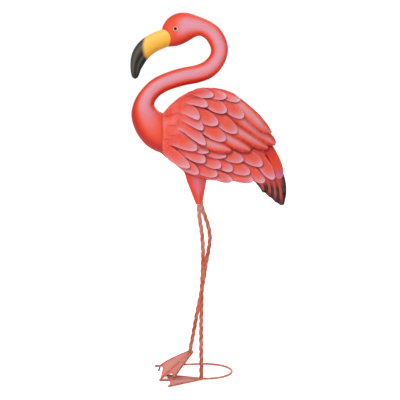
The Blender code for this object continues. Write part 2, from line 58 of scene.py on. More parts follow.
HEAD_AND_NECK = np.array([
    (161.8, 29.3, 168.0, 46.6, 8.2), (163.6, 24.4, 172.4, 46.5, 8.8),
    (167.6, 18.8, 176.8, 45.9, 9.4), (173.3, 14.8, 181.6, 44.4, 9.6),
    (180.2, 12.7, 186.6, 42.0, 9.4), (187.8, 12.9, 191.0, 39.4, 9.0),
    (197.2, 15.9, 195.2, 37.0, 8.5), (206.6, 19.7, 199.6, 35.8, 8.0),
    (214.2, 23.9, 203.6, 37.4, 7.8), (219.7, 28.7, 206.8, 40.2, 7.7),
    (224.0, 35.1, 209.3, 44.4, 7.7), (227.0, 42.4, 210.8, 48.6, 7.7),
    (228.0, 49.6, 210.9, 51.6, 7.7), (226.6, 57.6, 209.9, 54.9, 7.7),
    (223.2, 65.4, 207.6, 58.2, 7.7), (217.6, 72.7, 204.4, 61.2, 7.8),
    (209.6, 78.7, 200.2, 63.5, 7.8), (198.4, 82.6, 193.6, 65.6, 7.9),
    (186.8, 84.9, 183.0, 67.6, 8.0), (175.6, 87.9, 171.6, 70.7, 8.1),
    (167.0, 91.1, 160.0, 75.2, 8.3), (160.6, 95.0, 150.4, 80.8, 8.5),
    (156.3, 99.4, 142.4, 88.6, 8.8), (154.4, 103.4, 136.4, 97.0, 9.2),
    (154.6, 106.4, 133.0, 105.0, 9.6), (157.4, 110.2, 131.4, 113.6, 10.2),
    (160.0, 111.8, 132.6, 122.6, 10.9), (161.2, 112.4, 137.0, 133.4, 11.7),
    (161.9, 112.8, 144.6, 143.6, 12.5), (162.3, 113.2, 153.0, 149.6, 13.2),
    (162.6, 113.6, 162.6, 153.6, 13.8),
])
BILL_BULGE = 5.4
BULGE_ROWS = 3
SEAM_RIDGE = 0.0002
SEAM_WIDTH = 0.05
EYE = (175.6, 29.5)
EYE_RADIUS = 0.0066
PUPIL_RADIUS = 0.0051
PUPIL_RADIUS = 0.0051
SEAM_MERGE = 0.00002
COAT_ROUGHNESS = 0.25
SPECULAR = 0.18
BUMP_STRENGTH = 0.35
STREAKS_PER_MOTTLE = 4.0

def paint(red, green, blue):
    """A paint colour, given as on a screen, for a shader."""
    parts = [value / 255 for value in (red, green, blue)]
    return (*[p / 12.92 if p <= 0.04045 else ((p + 0.055) / 1.055) ** 2.4 for p in parts], 1.0)


def unplaced(x, y):
    """Places of the side drawing as the part has them, which it shows a little from above."""
    level = (DRAWING_GROUND - y) / (DRAWING_GROUND - DRAWING_TOP)
    across = (x - DRAWING_MIDDLE) * STEP * (WIDTH_AT_GROUND + (WIDTH_AT_TOP - WIDTH_AT_GROUND) * level)
    return across, HEIGHT * level + 4 * DRAWING_SAG * STEP * level * (1 - level)


SHIFT_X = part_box("bill")[0].x - unplaced(*BILL_FRONT)[0]


def side(x, y):
    """Places of the side drawing, as x and z on the statue."""
    across, height = unplaced(x, y)
    return across + SHIFT_X, height


def hermite(values, slopes, i, share, width=1.0):
    """Values a share of the way from row i to the next, on a smooth curve with these slopes."""
    t = share[..., None]
    return ((2 * t ** 3 - 3 * t ** 2 + 1) * values[i] + (t ** 3 - 2 * t ** 2 + t) * width * slopes[i]
            + (3 * t ** 2 - 2 * t ** 3) * values[i + 1] + (t ** 3 - t ** 2) * width * slopes[i + 1])


def smooth(table, share):
    """Rows between the rows of a table, on a smooth curve through them."""
    table = np.asarray(table, float)
    place = np.clip(share, 0, 1) * (len(table) - 1)
    i = np.clip(place.astype(int), 0, len(table) - 2)
    return hermite(table, np.gradient(table, axis=0), i, place - i)


def carry(piece, paints):
    """Lets a piece's mesh carry paint values, four for each of its points."""
    layer = piece.data.color_attributes.new("paint", "FLOAT_COLOR", "POINT")
    layer.data.foreach_set("color", np.asarray(paints, float).ravel())


def grid(name, across, along, place):
    """A grid that is bent to the points that place gives for each share across and along."""
    bpy.ops.object.select_all(action="DESELECT")
    bpy.ops.mesh.primitive_grid_add(x_subdivisions=across, y_subdivisions=along, size=2, location=(0, 0, 0))
    piece = bpy.context.object
    piece.name = piece.data.name = name
    flat = np.zeros(len(piece.data.vertices) * 3)
    piece.data.vertices.foreach_get("co", flat)
    flat = flat.reshape(-1, 3)
    points, paints = place((flat[:, 0] + 1) / 2, (flat[:, 1] + 1) / 2)
    piece.data.vertices.foreach_set("co", points.ravel())
    carry(piece, paints)
    piece.data.update()
    return piece


def pick(*pieces):
    """Selects these pieces alone and makes the first one active."""
    bpy.ops.object.select_all(action="DESELECT")
    for piece in pieces:
        piece.select_set(True)
    bpy.context.view_layer.objects.active = pieces[0]


def edit(piece, *steps):
    """Runs edit mode steps on all of one piece."""
    pick(piece)
    bpy.ops.object.mode_set(mode="EDIT")
    bpy.ops.mesh.select_all(action="SELECT")
    for step in steps:
        step()
    bpy.ops.object.mode_set(mode="OBJECT")


def weld_and_close():
    """Merges the seam and the poles, closes the open ends and turns the faces out."""
    bpy.ops.mesh.remove_doubles(threshold=SEAM_MERGE)
    bpy.ops.mesh.select_all(action="DESELECT")
    bpy.ops.mesh.select_non_manifold(extend=False)
    bpy.ops.mesh.edge_face_add()
    bpy.ops.mesh.select_all(action="SELECT")
    bpy.ops.mesh.normals_make_consistent(inside=False)


def ring_paint(around, along, extra=0.0):
    """Paint values of a tube: along it, over or under it and one free value."""
    height = 0.5 + 0.5 * np.sin(2 * math.pi * around)
    still = np.zeros(len(along))
    return np.stack([along, height, still + extra, still], axis=1)


def tube_points(rows, around, bulge):
    """Points of an oval tube between the drawing's upper and lower lines."""
    top_x, top_z = side(rows[:, 0], rows[:, 1])
    low_x, low_z = side(rows[:, 2], rows[:, 3])
    turn = 2 * math.pi * around
    up_x, up_z = (top_x - low_x) / 2, (top_z - low_z) / 2
    length = np.hypot(up_x, up_z)
    out = np.cos(turn)
    seam = 1 + SEAM_RIDGE / length * np.exp(-(out / SEAM_WIDTH) ** 2)
    x = (top_x + low_x) / 2 + up_x * np.sin(turn) * seam
    z = (top_z + low_z) / 2 + up_z * np.sin(turn) * seam
    back = bulge * np.abs(out) ** 1.5
    x = x + up_z / length * back
    z = z - up_x / length * back
    y = MIDDLE_Y + rows[:, 4] * STEP * out
    return np.stack([x, y, z], axis=1)


def joint_bulge(table, along, rows):
    """How far the sides bulge where head and bill meet, which fades over the first rows of a table."""
    return BILL_BULGE * STEP * np.maximum(0, 1 - along * (len(table) - 1) / rows) ** 1.4


def neck_place(around, along):
    """Places on the head and neck, fuller where the bill fits on."""
    points = tube_points(smooth(HEAD_AND_NECK, along), around, joint_bulge(HEAD_AND_NECK, along, BULGE_ROWS))
    return points, ring_paint(around, along, 0.5 + 0.5 * np.cos(2 * math.pi * around))


class Nodes:
    """A node tree and short ways to add to it."""

    def __init__(self, tree):
        self.tree = tree

    def plug(self, value, socket):
        """Gives a socket a fixed value or the output of another node."""
        if isinstance(value, (int, float, tuple)):
            socket.default_value = value
        else:
            self.tree.links.new(value, socket)

    def add(self, kind, *values, **settings):
        """A new node with its settings made and its first sockets filled."""
        node = self.tree.nodes.new(kind)
        for key, setting in settings.items():
            setattr(node, key, setting)
        for socket, value in zip(node.inputs, values):
            self.plug(value, socket)
        return node

    def maths(self, operation, *values):
        """The result of a calculation with up to three values."""
        return self.add("ShaderNodeMath", *values, operation=operation).outputs[0]

    def times(self, first, second, *plus):
        """The product of two values, and with a third one added to it."""
        return self.maths("MULTIPLY_ADD" if plus else "MULTIPLY", first, second, *plus)

    def ramp(self, value, *stops):
        """A ramp over a value. Each stop is a place with a grey level or a screen colour."""
        node = self.add("ShaderNodeValToRGB", value)
        elements = node.color_ramp.elements
        while len(elements) < len(stops):
            elements.new(0.5)
        for element, (place, *colour) in zip(elements, stops):
            element.position = place
            element.color = paint(*colour) if len(colour) == 3 else (*colour * 3, 1.0)
        return node.outputs["Color"]

    def blend(self, share, first, second):
        """A mix of two colours, with the share of the second."""
        node = self.add("ShaderNodeMix", data_type="RGBA")
        for number, value in ((0, share), (6, first), (7, second)):
            self.plug(value, node.inputs[number])
        return node.outputs[2]

    def tint(self, colour, share, most, *over):
        """A colour with a screen colour over it, as strong as a share of the most."""
        return self.blend(self.times(share, most), colour, paint(*over))

    def uneven(self, value, mottle, amount):
        """A value that the mottle makes uneven."""
        return self.times(mottle, amount, self.maths("ADD", value, -amount / 2))


def brush_group():
    """Fine uneven brush work, shared by every painted piece: a mottle, a streak and their height."""
    group = bpy.data.node_groups.new("brushed_paint", "ShaderNodeTree")
    group.interface.new_socket("Vector", in_out="INPUT", socket_type="NodeSocketVector")
    group.interface.new_socket("Size", in_out="INPUT", socket_type="NodeSocketFloat")
    for name in ("Mottle", "Streak", "Height"):
        group.interface.new_socket(name, in_out="OUTPUT", socket_type="NodeSocketFloat")
    nodes = Nodes(group)
    inlet, outlet = nodes.add("NodeGroupInput").outputs, nodes.add("NodeGroupOutput").inputs
    finer = nodes.times(inlet["Size"], STREAKS_PER_MOTTLE)
    noises = []
    for size, detail, roughness in ((inlet["Size"], 3.0, 0.5), (finer, 5.0, 0.65)):
        noise = nodes.add("ShaderNodeTexNoise", inlet["Vector"])
        for key, value in (("Scale", size), ("Detail", detail), ("Roughness", roughness)):
            nodes.plug(value, noise.inputs[key])
        noises.append(noise.outputs["Fac"])
    nodes.plug(noises[0], outlet["Mottle"])
    nodes.plug(noises[1], outlet["Streak"])
    nodes.plug(nodes.maths("ADD", *noises), outlet["Height"])
    return group


BRUSHED = brush_group()


class Look(Nodes):
    """A painted material with its own Principled shader."""

    def __init__(self, name, roughness, coat=0.0):
        self.material = bpy.data.materials.new(name)
        self.material.use_nodes = True
        super().__init__(self.material.node_tree)
        self.surface = self.tree.nodes["Principled BSDF"].inputs
        self.surface["Roughness"].default_value = roughness
        self.surface["Coat Weight"].default_value = coat
        self.surface["Coat Roughness"].default_value = COAT_ROUGHNESS
        self.surface["Specular IOR Level"].default_value = SPECULAR

    def brushed(self, size, stretch=(1.0, 1.0, 1.0), depth=0.0006, places=None):
        """Adds the brush work, at the object's own places or others, and gives its mottle and streak."""
        turn = self.add("ShaderNodeMapping", places or self.add("ShaderNodeTexCoord").outputs["Object"])
        turn.inputs["Scale"].default_value = stretch
        brush = self.add("ShaderNodeGroup", turn.outputs[0], size, node_tree=BRUSHED).outputs
        bump = self.add("ShaderNodeBump")
        for key, value in (("Strength", BUMP_STRENGTH), ("Distance", depth), ("Height", brush["Height"])):
            self.plug(value, bump.inputs[key])
        self.plug(bump.outputs[0], self.surface["Normal"])
        return brush["Mottle"], brush["Streak"]

    def values(self):
        """The four paint values that a piece's mesh carries."""
        carried = self.add("ShaderNodeAttribute", attribute_name="paint").outputs
        return *self.add("ShaderNodeSeparateColor", carried["Color"]).outputs[:3], carried["Alpha"]

    def painted(self, colour, *tints):
        """The finished material, in this colour with tints over it."""
        for share, most, *over in tints:
            colour = self.tint(colour, share, most, *over)
        self.plug(colour, self.surface["Base Color"])
        return self.material


def neck_paint():
    """Pink with lilac and rosy streaks along the sides, coral at the edges, and the eyes."""
    look = Look("neck_brushed_pink_and_coral", 0.50)
    along, height, _, _ = look.values()
    tube = look.add("ShaderNodeAttribute", attribute_name="paint").outputs["Vector"]
    mottle, streak = look.brushed(5.0, (0.5, 0.32, 0.32), places=tube)
    pink_at = look.ramp(along, (0.20, 0.55), (0.42, 0.52), (0.58, 0.42), (0.72, 0.46), (0.84, 0.62),
                        (0.95, 0.66))
    off = look.maths("ABSOLUTE", look.maths("SUBTRACT", height, pink_at))
    uneven = look.times(mottle, 0.30, -0.15)
    edge = look.times(off, 2.0, uneven)
    sides = look.ramp(edge, (0.18, 224, 152, 164), (0.42, 226, 132, 140), (0.62, 230, 92, 72),
                      (0.78, 222, 60, 28), (1.00, 180, 32, 20))
    inner = look.ramp(edge, (0.42, 1), (0.66, 0))
    lilac = look.times(inner, look.ramp(streak, (0.44, 0), (0.62, 1)))
    sides = look.tint(sides, lilac, 0.42, 214, 138, 162)
    rosy = look.times(inner, look.ramp(streak, (0.38, 1), (0.50, 0)))
    sides = look.tint(sides, rosy, 0.30, 224, 100, 108)
    face = look.ramp(edge, (0.25, 232, 86, 62), (0.70, 226, 70, 46), (1.00, 186, 42, 40))
    reach = look.maths("ADD", along, look.times(mottle, 0.10, -0.05))
    chest = look.ramp(reach, (0.78, 0), (0.97, 1))
    sides = look.blend(chest, sides, face)
    reach = look.times(height, -0.07, reach)
    mask = look.ramp(look.maths("ADD", reach, 0.035), (0.085, 1), (0.135, 0))
    colour = look.blend(mask, sides, face)
    # Painted shade: the end of the neck is darkened in the crease where it meets the body.
    seam = look.ramp(along, (0.982, 0), (0.996, 1))
    colour = look.tint(colour, seam, 0.3, 180, 50, 42)
    eye_x, eye_z = side(*EYE)
    places = look.add("ShaderNodeTexCoord").outputs["Object"]
    flat = look.add("ShaderNodeVectorMath", places, (1.0, 0.0, 1.0), operation="MULTIPLY").outputs["Vector"]
    far = look.add("ShaderNodeVectorMath", flat, (eye_x, 0.0, eye_z), operation="DISTANCE").outputs["Value"]
    away = look.maths("DIVIDE", far, EYE_RADIUS)
    rim = look.ramp(away, (0.92, 1), (1.08, 0))
    pupil_edge = PUPIL_RADIUS / EYE_RADIUS
    pupil = look.ramp(away, (pupil_edge - 0.06, 1), (pupil_edge + 0.06, 0))
    colour = look.blend(rim, colour, paint(240, 214, 160))
    colour = look.blend(pupil, colour, paint(22, 50, 40))
    look.plug(look.ramp(pupil, (0.0, 0.50), (1.0, 0.15)), look.surface["Roughness"])
    return look.painted(colour)


def keep(piece, material, slot, *nodes):
    """Finishes a piece: its material, unless it has its own, and the nodes that it stands for."""
    if material:
        piece.data.materials.clear()
        piece.data.materials.append(material)
    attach(piece, "root")
    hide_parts(*nodes)


def shade_smooth(piece, degrees=50):
    """Shades a piece smooth but for the edges that are sharper than an angle."""
    pick(piece)
    bpy.ops.object.shade_smooth_by_angle(angle=math.radians(degrees))


neck = grid("head_and_neck_shell", 56, 210, neck_place)
edit(neck, weld_and_close)
shade_smooth(neck)
keep(neck, neck_paint(), "neck_paint", "head_and_neck")

# The bill is a pressed piece that caps the front of the head. It is painted yellow, and
# its hooked end black, with a groove where the upper and lower halves meet.
BILL = np.array([
    (161.8, 29.3, 168.0, 46.6, 8.2), (156.2, 31.4, 162.8, 48.8, 7.2),
    (150.4, 34.0, 157.4, 51.2, 6.4), (145.4, 36.9, 152.6, 54.4, 6.0),
    (140.9, 40.4, 148.6, 58.0, 5.7), (136.6, 45.0, 145.6, 61.8, 5.3),
    (133.2, 50.6, 143.6, 65.0, 4.9), (131.1, 56.9, 142.0, 67.6, 4.4),
    (130.4, 63.6, 140.8, 69.8, 3.9), (130.6, 70.2, 139.9, 72.4, 3.4),
    (131.4, 75.4, 139.0, 75.4, 2.9), (132.4, 79.2, 138.4, 78.6, 2.4),
])
BILL_END = 0.12
BILL_POINT = 0.0004
BILL_BULGE_ROWS = 2.5
GROOVE_DEPTH = 0.0012
GROOVE_WIDTH = 0.13
GROOVE_FROM = 0.36
GROOVE_START = 0.15
GROOVE_LEVELS = (-0.2, 0.22)
YELLOW_END = (0.395, 0.07, -0.19)


def bill_place(around, along):
    """Places on the bill, which is rounded off at its tip."""
    rows = smooth(BILL, along)
    end = np.clip((along - 1 + BILL_END) / BILL_END, 0, 1)
    left_over = np.sqrt(np.clip(1 - end ** 2, BILL_POINT, 1))[:, None]
    middle = (rows[:, 0:2] + rows[:, 2:4]) / 2
    rows[:, 0:2] = middle + (rows[:, 0:2] - middle) * left_over
    rows[:, 2:4] = middle + (rows[:, 2:4] - middle) * left_over
    rows[:, 4] *= left_over[:, 0]
    points = tube_points(rows, around, joint_bulge(BILL, along, BILL_BULGE_ROWS))
    level = np.sin(2 * math.pi * around)
    run = (along - GROOVE_FROM) / (1 - GROOVE_FROM)
    start, end = GROOVE_LEVELS
    off = level - start - (end - start) * run
    groove = np.exp(-(off / GROOVE_WIDTH) ** 2) * np.clip(run / GROOVE_START, 0, 1)
    points[:, 1] -= np.sign(np.cos(2 * math.pi * around)) * groove * GROOVE_DEPTH
    return points, ring_paint(around, along, groove)


def bill_paint():
    """Yellow, darker along its lower edge as painted shade, and black beyond a bent line, with pale bands of
    painted sheen and dark bands along the black, and painted shade in its groove.
    """
    look = Look("bill_yellow_and_black", 0.42, 0.1)
    along, height, groove, _ = look.values()
    mottle, _ = look.brushed(30.0, depth=0.0005)
    # The yellow darkens along the lower edge of the bill: painted shade.
    yellow = look.ramp(height, (0.0, 206, 150, 44), (0.3, 236, 176, 62), (0.6, 246, 192, 82),
                       (0.9, 246, 194, 90), (1.0, 236, 172, 74))
    # The grey bands in the black are a painted sheen along the upper and lower halves of the bill.
    black = look.ramp(height, (0.0, 30, 26, 22), (0.16, 30, 27, 24), (0.28, 76, 74, 68), (0.40, 28, 24, 20),
                      (0.55, 66, 60, 54), (0.72, 92, 87, 78), (0.90, 52, 50, 44), (1.0, 30, 30, 26))
    level, lean, bow = YELLOW_END
    limit = look.times(look.times(height, bow, lean), height, level)
    reach = look.times(mottle, 0.05, look.maths("SUBTRACT", along, limit))
    mask = look.ramp(look.maths("ADD", reach, 0.475), (0.47, 0), (0.545, 1))
    tip = look.ramp(along, (0.80, 0), (1.00, 1))
    black = look.blend(tip, black, paint(20, 18, 16))
    colour = look.blend(mask, yellow, black)
    # Painted shade: the groove is darkened where it runs through the black.
    dark = look.times(groove, mask)
    colour = look.blend(dark, colour, paint(18, 14, 12))
    return look.painted(colour)


bill = grid("bill_shell", 48, 90, bill_place)
edit(bill, weld_and_close)
shade_smooth(bill)
keep(bill, bill_paint(), "bill_paint", "bill")

# The body is a pressed shell of the same sheet. Only its front, a strip along the back
# and the belly show between the feathers, in plain coral.
FORM = np.array([
    (162.8, 114.4, 153.4, 13.4), (166.0, 110.6, 156.4, 15.4), (171.0, 105.8, 160.8, 18.0),
    (178.0, 99.8, 167.0, 20.8), (188.0, 94.2, 174.4, 23.2), (200.0, 90.6, 178.4, 24.6),
    (214.0, 89.6, 180.4, 24.6), (228.0, 92.8, 180.8, 22.8), (240.0, 99.4, 180.4, 19.8),
    (250.0, 108.0, 181.4, 16.4), (259.0, 119.0, 186.0, 12.8), (266.0, 131.0, 191.0, 10.0),
    (274.0, 145.0, 198.0, 8.4), (284.0, 165.0, 205.0, 7.4),
])
FULLNESS = 2.5
BODY_CUT = ((249.4, 181.0), (268.6, 148.0))
SLIMMEST = 0.004
NEAREST_TOP = 0.985


def read_form(x):
    """Top, bottom and half width of the body at places along it."""
    places, _ = side(FORM[:, 0], (FORM[:, 1] + FORM[:, 2]) / 2)
    tops, bottoms = side(FORM[:, 0], FORM[:, 1])[1], side(FORM[:, 0], FORM[:, 2])[1]
    values = np.stack([tops, bottoms, FORM[:, 3] * STEP], axis=1)
    slopes = np.gradient(values, places, axis=0)
    x = np.asarray(x, float)
    i = np.clip(np.searchsorted(places, x) - 1, 0, len(places) - 2)
    width = places[i + 1] - places[i]
    raw = (x - places[i]) / width
    width = width[..., None]
    inside = hermite(values, slopes, i, np.clip(raw, 0, 1), width)
    beyond = np.where(raw < 0, raw, np.where(raw > 1, raw - 1, 0.0))[..., None]
    end = np.where((raw < 0)[..., None], slopes[i], slopes[i + 1])
    read = inside + beyond * width * end
    return read[..., 0], read[..., 1], np.maximum(read[..., 2], SLIMMEST)


def form_point(x, turn):
    """Points of the body's left side; turn runs from the belly to the back."""
    top, bottom, half = read_form(x)
    power = 2 / FULLNESS
    rise = np.sign(np.sin(turn)) * np.abs(np.sin(turn)) ** power
    out = np.abs(np.cos(turn)) ** power
    return np.stack([x, -half * out, (top + bottom) / 2 + (top - bottom) / 2 * rise], axis=-1)


def form_turn(x, z):
    """How far round the body's left side a height lies."""
    top, bottom, _ = read_form(x)
    share = np.clip((z - (top + bottom) / 2) / ((top - bottom) / 2), -NEAREST_TOP, NEAREST_TOP)
    return np.arcsin(np.sign(share) * np.abs(share) ** (FULLNESS / 2))


def form_normal(x, turn):
    """The way out of the body at places on its left side."""
    small = 0.002
    along = form_point(x + small, turn) - form_point(x - small, turn)
    around = form_point(x, turn + small) - form_point(x, turn - small)
    normal = np.cross(along, around)
    return normal / np.linalg.norm(normal, axis=-1, keepdims=True)


def body_place(around, along):
    """Places on the body shell."""
    start = side(FORM[0, 0], (FORM[0, 1] + FORM[0, 2]) / 2)[0]
    end = side(FORM[-1, 0], (FORM[-1, 1] + FORM[-1, 2]) / 2)[0]
    x = start + (end - start) * along
    turn = 2 * math.pi * around
    points = form_point(x, np.arcsin(np.sin(turn)))
    points[:, 1] = np.where(np.cos(turn) >= 0, points[:, 1], -points[:, 1]) + MIDDLE_Y
    return points, ring_paint(around, along)


def cut_for_tail():
    """Cuts the shell off where the tail is welded on."""
    low_x, low_z = side(*BODY_CUT[0])
    high_x, high_z = side(*BODY_CUT[1])
    out = Vector((high_z - low_z, 0, low_x - high_x)).normalized()
    bpy.ops.mesh.bisect(plane_co=(low_x, 0, low_z), plane_no=out, clear_outer=True, use_fill=True)


def body_paint():
    """Plain coral with the marks of the brush."""
    look = Look("body_brushed_coral", 0.47, 0.1)
    mottle, streak = look.brushed(24.0)
    tone = look.times(streak, 0.4, look.times(mottle, 0.6))
    return look.painted(look.ramp(tone, (0.30, 212, 62, 48), (0.52, 230, 82, 62), (0.72, 234, 106, 92)))


body = grid("body_shell", 72, 110, body_place)
edit(body, weld_and_close, cut_for_tail)
shade_smooth(body)
keep(body, body_paint(), "body_paint", "body")

# The feathers are cut from sheet, pressed to a crown and welded on in rows, each row
# over the roots of the next. Every feather is airbrushed from coral at its root to pale
# lilac at its tip, with dark maroon in the shadow of the feathers that lie over it.
ROWS = {
    "shoulder_feathers": (3.1, [
        ([(183, 96.8), (196, 92.4), (213.5, 96.0)], 4.9), ([(174, 105), (190, 99), (207.5, 106.5)], 5.4),
        ([(170, 112), (185, 108), (199, 119.5)], 5.9), ([(170, 120), (186, 117), (203, 130)], 5.6),
        ([(170, 127), (183, 125), (205.5, 145)], 6.0)]),
    "covert_feathers": (2.5, [
        ([(203, 91), (226.5, 97)], 5.0), ([(204, 98.5), (226.5, 111.8)], 6.8),
        ([(196, 112), (218, 124)], 6.9), ([(200, 124), (225.5, 140)], 6.8)]),
    "long_covert_feathers": (2.1, [
        ([(217, 92), (240.5, 100)], 4.6), ([(222, 101), (243.5, 117.4)], 6.4),
        ([(214, 115), (237, 132.4)], 6.8)]),
    "flight_feathers": (1.7, [
        ([(233, 99.5), (252.6, 117.2), (271.0, 133.3)], 7.0), ([(231, 112), (275.5, 144.5)], 6.2),
        ([(222, 123), (268, 148)], 6.0), ([(214, 131.5), (250.5, 150.5)], 6.0),
        ([(201, 141.5), (231.5, 150.8)], 5.9)]),
    "breast_feathers": (1.6, [
        ([(165, 136.6), (181, 140.6), (197, 149.6)], 7.6),
        ([(164.6, 148.8), (173.4, 155.8), (189.8, 167.4)], 6.2)]),
    "first_belly_feathers": (1.5, [
        ([(188, 147), (209, 151.6)], 3.6), ([(186, 150), (205.5, 161.5)], 6.4),
        ([(184, 163), (198.5, 173.5)], 5.4)]),
    "second_belly_feathers": (0.5, [
        ([(205, 152.8), (226.5, 155.4)], 4.4), ([(203, 157), (221, 167)], 6.2),
        ([(198, 167), (217.5, 175)], 6.0)]),
    "third_belly_feathers": (0.3, [
        ([(224, 154), (243.5, 160.3)], 5.8), ([(218, 161), (232.5, 170.5)], 5.8),
        ([(211, 173.6), (232.4, 180.8)], 4.9)]),
    "fourth_belly_feathers": (0.2, [
        ([(243, 153), (262.5, 165)], 6.6), ([(231, 165), (250, 173)], 6.2),
        ([(230, 175.4), (253.5, 180.4)], 5.0)]),
    "last_belly_feathers": (0.4, [([(257, 155), (274, 179)], 6.1), ([(247, 168), (264.5, 182)], 5.8)]),
    "tail_covert": (0.0, [([(266.2, 146), (275, 160), (279.6, 179)], 5.0)]),
}
RISE = 2.55
CROWN = 0.8
CROWN_POWER = 2.4
TIP_CURL = 0.5
SIDE_TILT = 0.45
SHEET = 0.0012
EDGE_ROUND = 0.3
TIP_MERGE = 0.00005
GAP = 0.0004
SHADOW_REACH = 1.9
SHADOW_FALL = (-0.5, 0.9)
SHADOW_SOFTNESS = 1.5
TIP_FADE = 7.2
LOW_FADE = 3.8
LOW_PALE = 0.72
TOP_FADE = 2.0
TOP_PALE = 0.42
ROOT_TUCK = 7.0
ROOT_FREE = 0.8
TIP_FREE = 14.0
TIP_LENGTH = 2.2
TIP_MOST = 0.72
TIP_ROUND = 1.9
ROOT_DIP = 4.0
COLLAR_SHADE = (0.42, 0.25)
TURNED_LIFT = 0.55
OUTLINE_ROUNDS = 12
VIEW_ROUNDS = 3
VIEW_DISTANCE = 3.0
VIEW_LEVEL = 0.83
FRONT_ROWS = ("shoulder_feathers", "breast_feathers")
BACK_OUTLINE = np.array([
    (163, 113.0), (170, 105.0), (179, 97.4), (188, 92.2), (197, 88.8), (206, 87.6),
    (215, 87.8), (224, 89.4), (233, 92.8), (242, 99.4), (251, 106.8), (260, 115.0),
    (268, 125.0), (273, 134.0), (278, 143.0), (284, 156.0),
])


def on_spine(spine, share):
    """Places along a feather's line, which is straight or bends through a third place."""
    spine = np.asarray(spine, float)
    if len(spine) == 2:
        return spine[0] + (spine[1] - spine[0]) * share[..., None]
    start, middle, end = spine
    bend = 2 * middle - (start + end) / 2
    t = share[..., None]
    return (1 - t) ** 2 * start + 2 * t * (1 - t) * bend + t ** 2 * end


def spine_length(spine):
    """How long a feather's line is, in the drawing's steps."""
    return np.linalg.norm(np.diff(np.asarray(spine, float), axis=0), axis=1).sum()


def feather_outline(spine, half, share):
    """Half width of a feather along it, with a long rounded tip."""
    round_from = 1 - min(TIP_MOST, TIP_LENGTH * half / spine_length(spine))
    tip = np.clip((share - round_from) / (1 - round_from), 0, 1)
    return half * np.sqrt(np.clip(1 - tip ** TIP_ROUND, 0, 1))


def feather_drawn(spine, half, across, along):
    """Places of a feather on the drawing, drawn in under the outline of the back.

    Across runs from -1 to 1.
    """
    ahead = on_spine(spine, np.minimum(along + 0.02, 1)) - on_spine(spine, np.maximum(along - 0.02, 0))
    ahead /= np.linalg.norm(ahead, axis=-1, keepdims=True)
    beside = np.stack([-ahead[..., 1], ahead[..., 0]], axis=-1)
    spot = on_spine(spine, along)
    edge = beside * (np.sign(across) * feather_outline(spine, half, along))[..., None]
    inside, outside = np.zeros(len(along)), np.ones(len(along))
    for _ in range(OUTLINE_ROUNDS):
        tried = (inside + outside) / 2
        place = spot + edge * tried[:, None]
        above = place[:, 1] < np.interp(place[:, 0], BACK_OUTLINE[:, 0], BACK_OUTLINE[:, 1])
        inside, outside = np.where(above, inside, tried), np.where(above, tried, outside)
    return spot + edge * (np.abs(across) * inside)[:, None]


def cast_shade(drawn, spine, half):
    """How deep each place lies in the painted shadow of another feather."""
    shares = np.linspace(0.3, 1, 25)
    line = on_spine(spine, shares) + np.array(SHADOW_FALL)
    away = np.linalg.norm(drawn[:, None, :] - line[None], axis=2)
    rim = feather_outline(spine, half, shares)
    past = (away - rim[None]).min(axis=1)
    return np.clip(1 - past / SHADOW_REACH, 0, 1) ** SHADOW_SOFTNESS


def pale_rim(spine, half, across, along):
    """How pale the paint is: most at the tip, less along the lower edge and least along the upper."""
    wide = feather_outline(spine, half, along)
    tip = np.exp(-(1 - along) * spine_length(spine) / TIP_FADE)
    low = LOW_PALE * np.exp(-(1 - across) * wide / LOW_FADE)
    top = TOP_PALE * np.exp(-(1 + across) * wide / TOP_FADE)
    return np.clip(np.sqrt(tip ** 2 + low ** 2 + top ** 2) * np.clip(along / 0.4, 0, 1), 0, 1)


def on_flank(drawn, lift, free):
    """Places of the drawing on the left flank, each lifted off the body by its lift in steps.

    They stay under the outline of the back, and over the belly but for the free distance in steps.
    """
    drawn_x, drawn_z = side(drawn[:, 0], drawn[:, 1])
    _, bottom, _ = read_form(drawn_x)
    back_x, back_z = side(BACK_OUTLINE[:, 0], BACK_OUTLINE[:, 1])
    top = np.interp(drawn_x, back_x, back_z)
    drawn_z = np.clip(drawn_z, bottom - free * STEP, top)
    nearer = np.ones(len(drawn))
    for _ in range(VIEW_ROUNDS):
        x = (drawn_x - SHIFT_X) * nearer + SHIFT_X
        z = VIEW_LEVEL + (drawn_z - VIEW_LEVEL) * nearer
        turn = form_turn(x, z)
        facing = np.abs(form_normal(x, turn)[:, 1])
        raised = (lift * STEP + GAP + SHEET) * (TURNED_LIFT + (1 - TURNED_LIFT) * facing)
        y = form_point(x, turn)[:, 1] - raised
        nearer = 1 + y / VIEW_DISTANCE
    return np.stack([x, y + MIDDLE_Y, z], axis=1)


def tucked(spine):
    """A feather's line, begun further back under the row before it."""
    spine = np.asarray(spine, float)
    back = (spine[0] - spine[1]) / np.linalg.norm(spine[0] - spine[1])
    return np.concatenate([[spine[0] + back * ROOT_TUCK], spine[1:]])


def feather_place(level, spine, half, over, at_collar):
    """How one feather's grid is placed, under or over the feathers laid before it."""
    def place(across_share, along_share):
        across = across_share * 2 - 1
        along = 1 - (1 - along_share) ** 1.35
        drawn = feather_drawn(spine, half, across, along)
        shade = np.zeros(len(drawn))
        for other_spine, other_half in over:
            shade = np.maximum(shade, cast_shade(drawn, other_spine, other_half))
        crown = (1 - np.abs(across) ** CROWN_POWER) * np.minimum(1, 0.3 + along)
        curl = np.clip((along - 0.8) / 0.2, 0, 1) ** 2
        lift = level + RISE * along + CROWN * crown + SIDE_TILT * across * along - TIP_CURL * curl
        if at_collar:
            lift = lift - ROOT_DIP * np.clip(1 - along / 0.35, 0, 1) ** 1.5
            shade = shade * np.clip((along - COLLAR_SHADE[0]) / COLLAR_SHADE[1], 0, 1)
        free = ROOT_FREE + TIP_FREE * np.clip((along - 0.4) / 0.4, 0, 1) ** 1.5
        points = on_flank(drawn, lift, free)
        paints = np.stack([along, across_share, pale_rim(spine, half, across, along), shade], axis=1)
        return points, paints
    return place


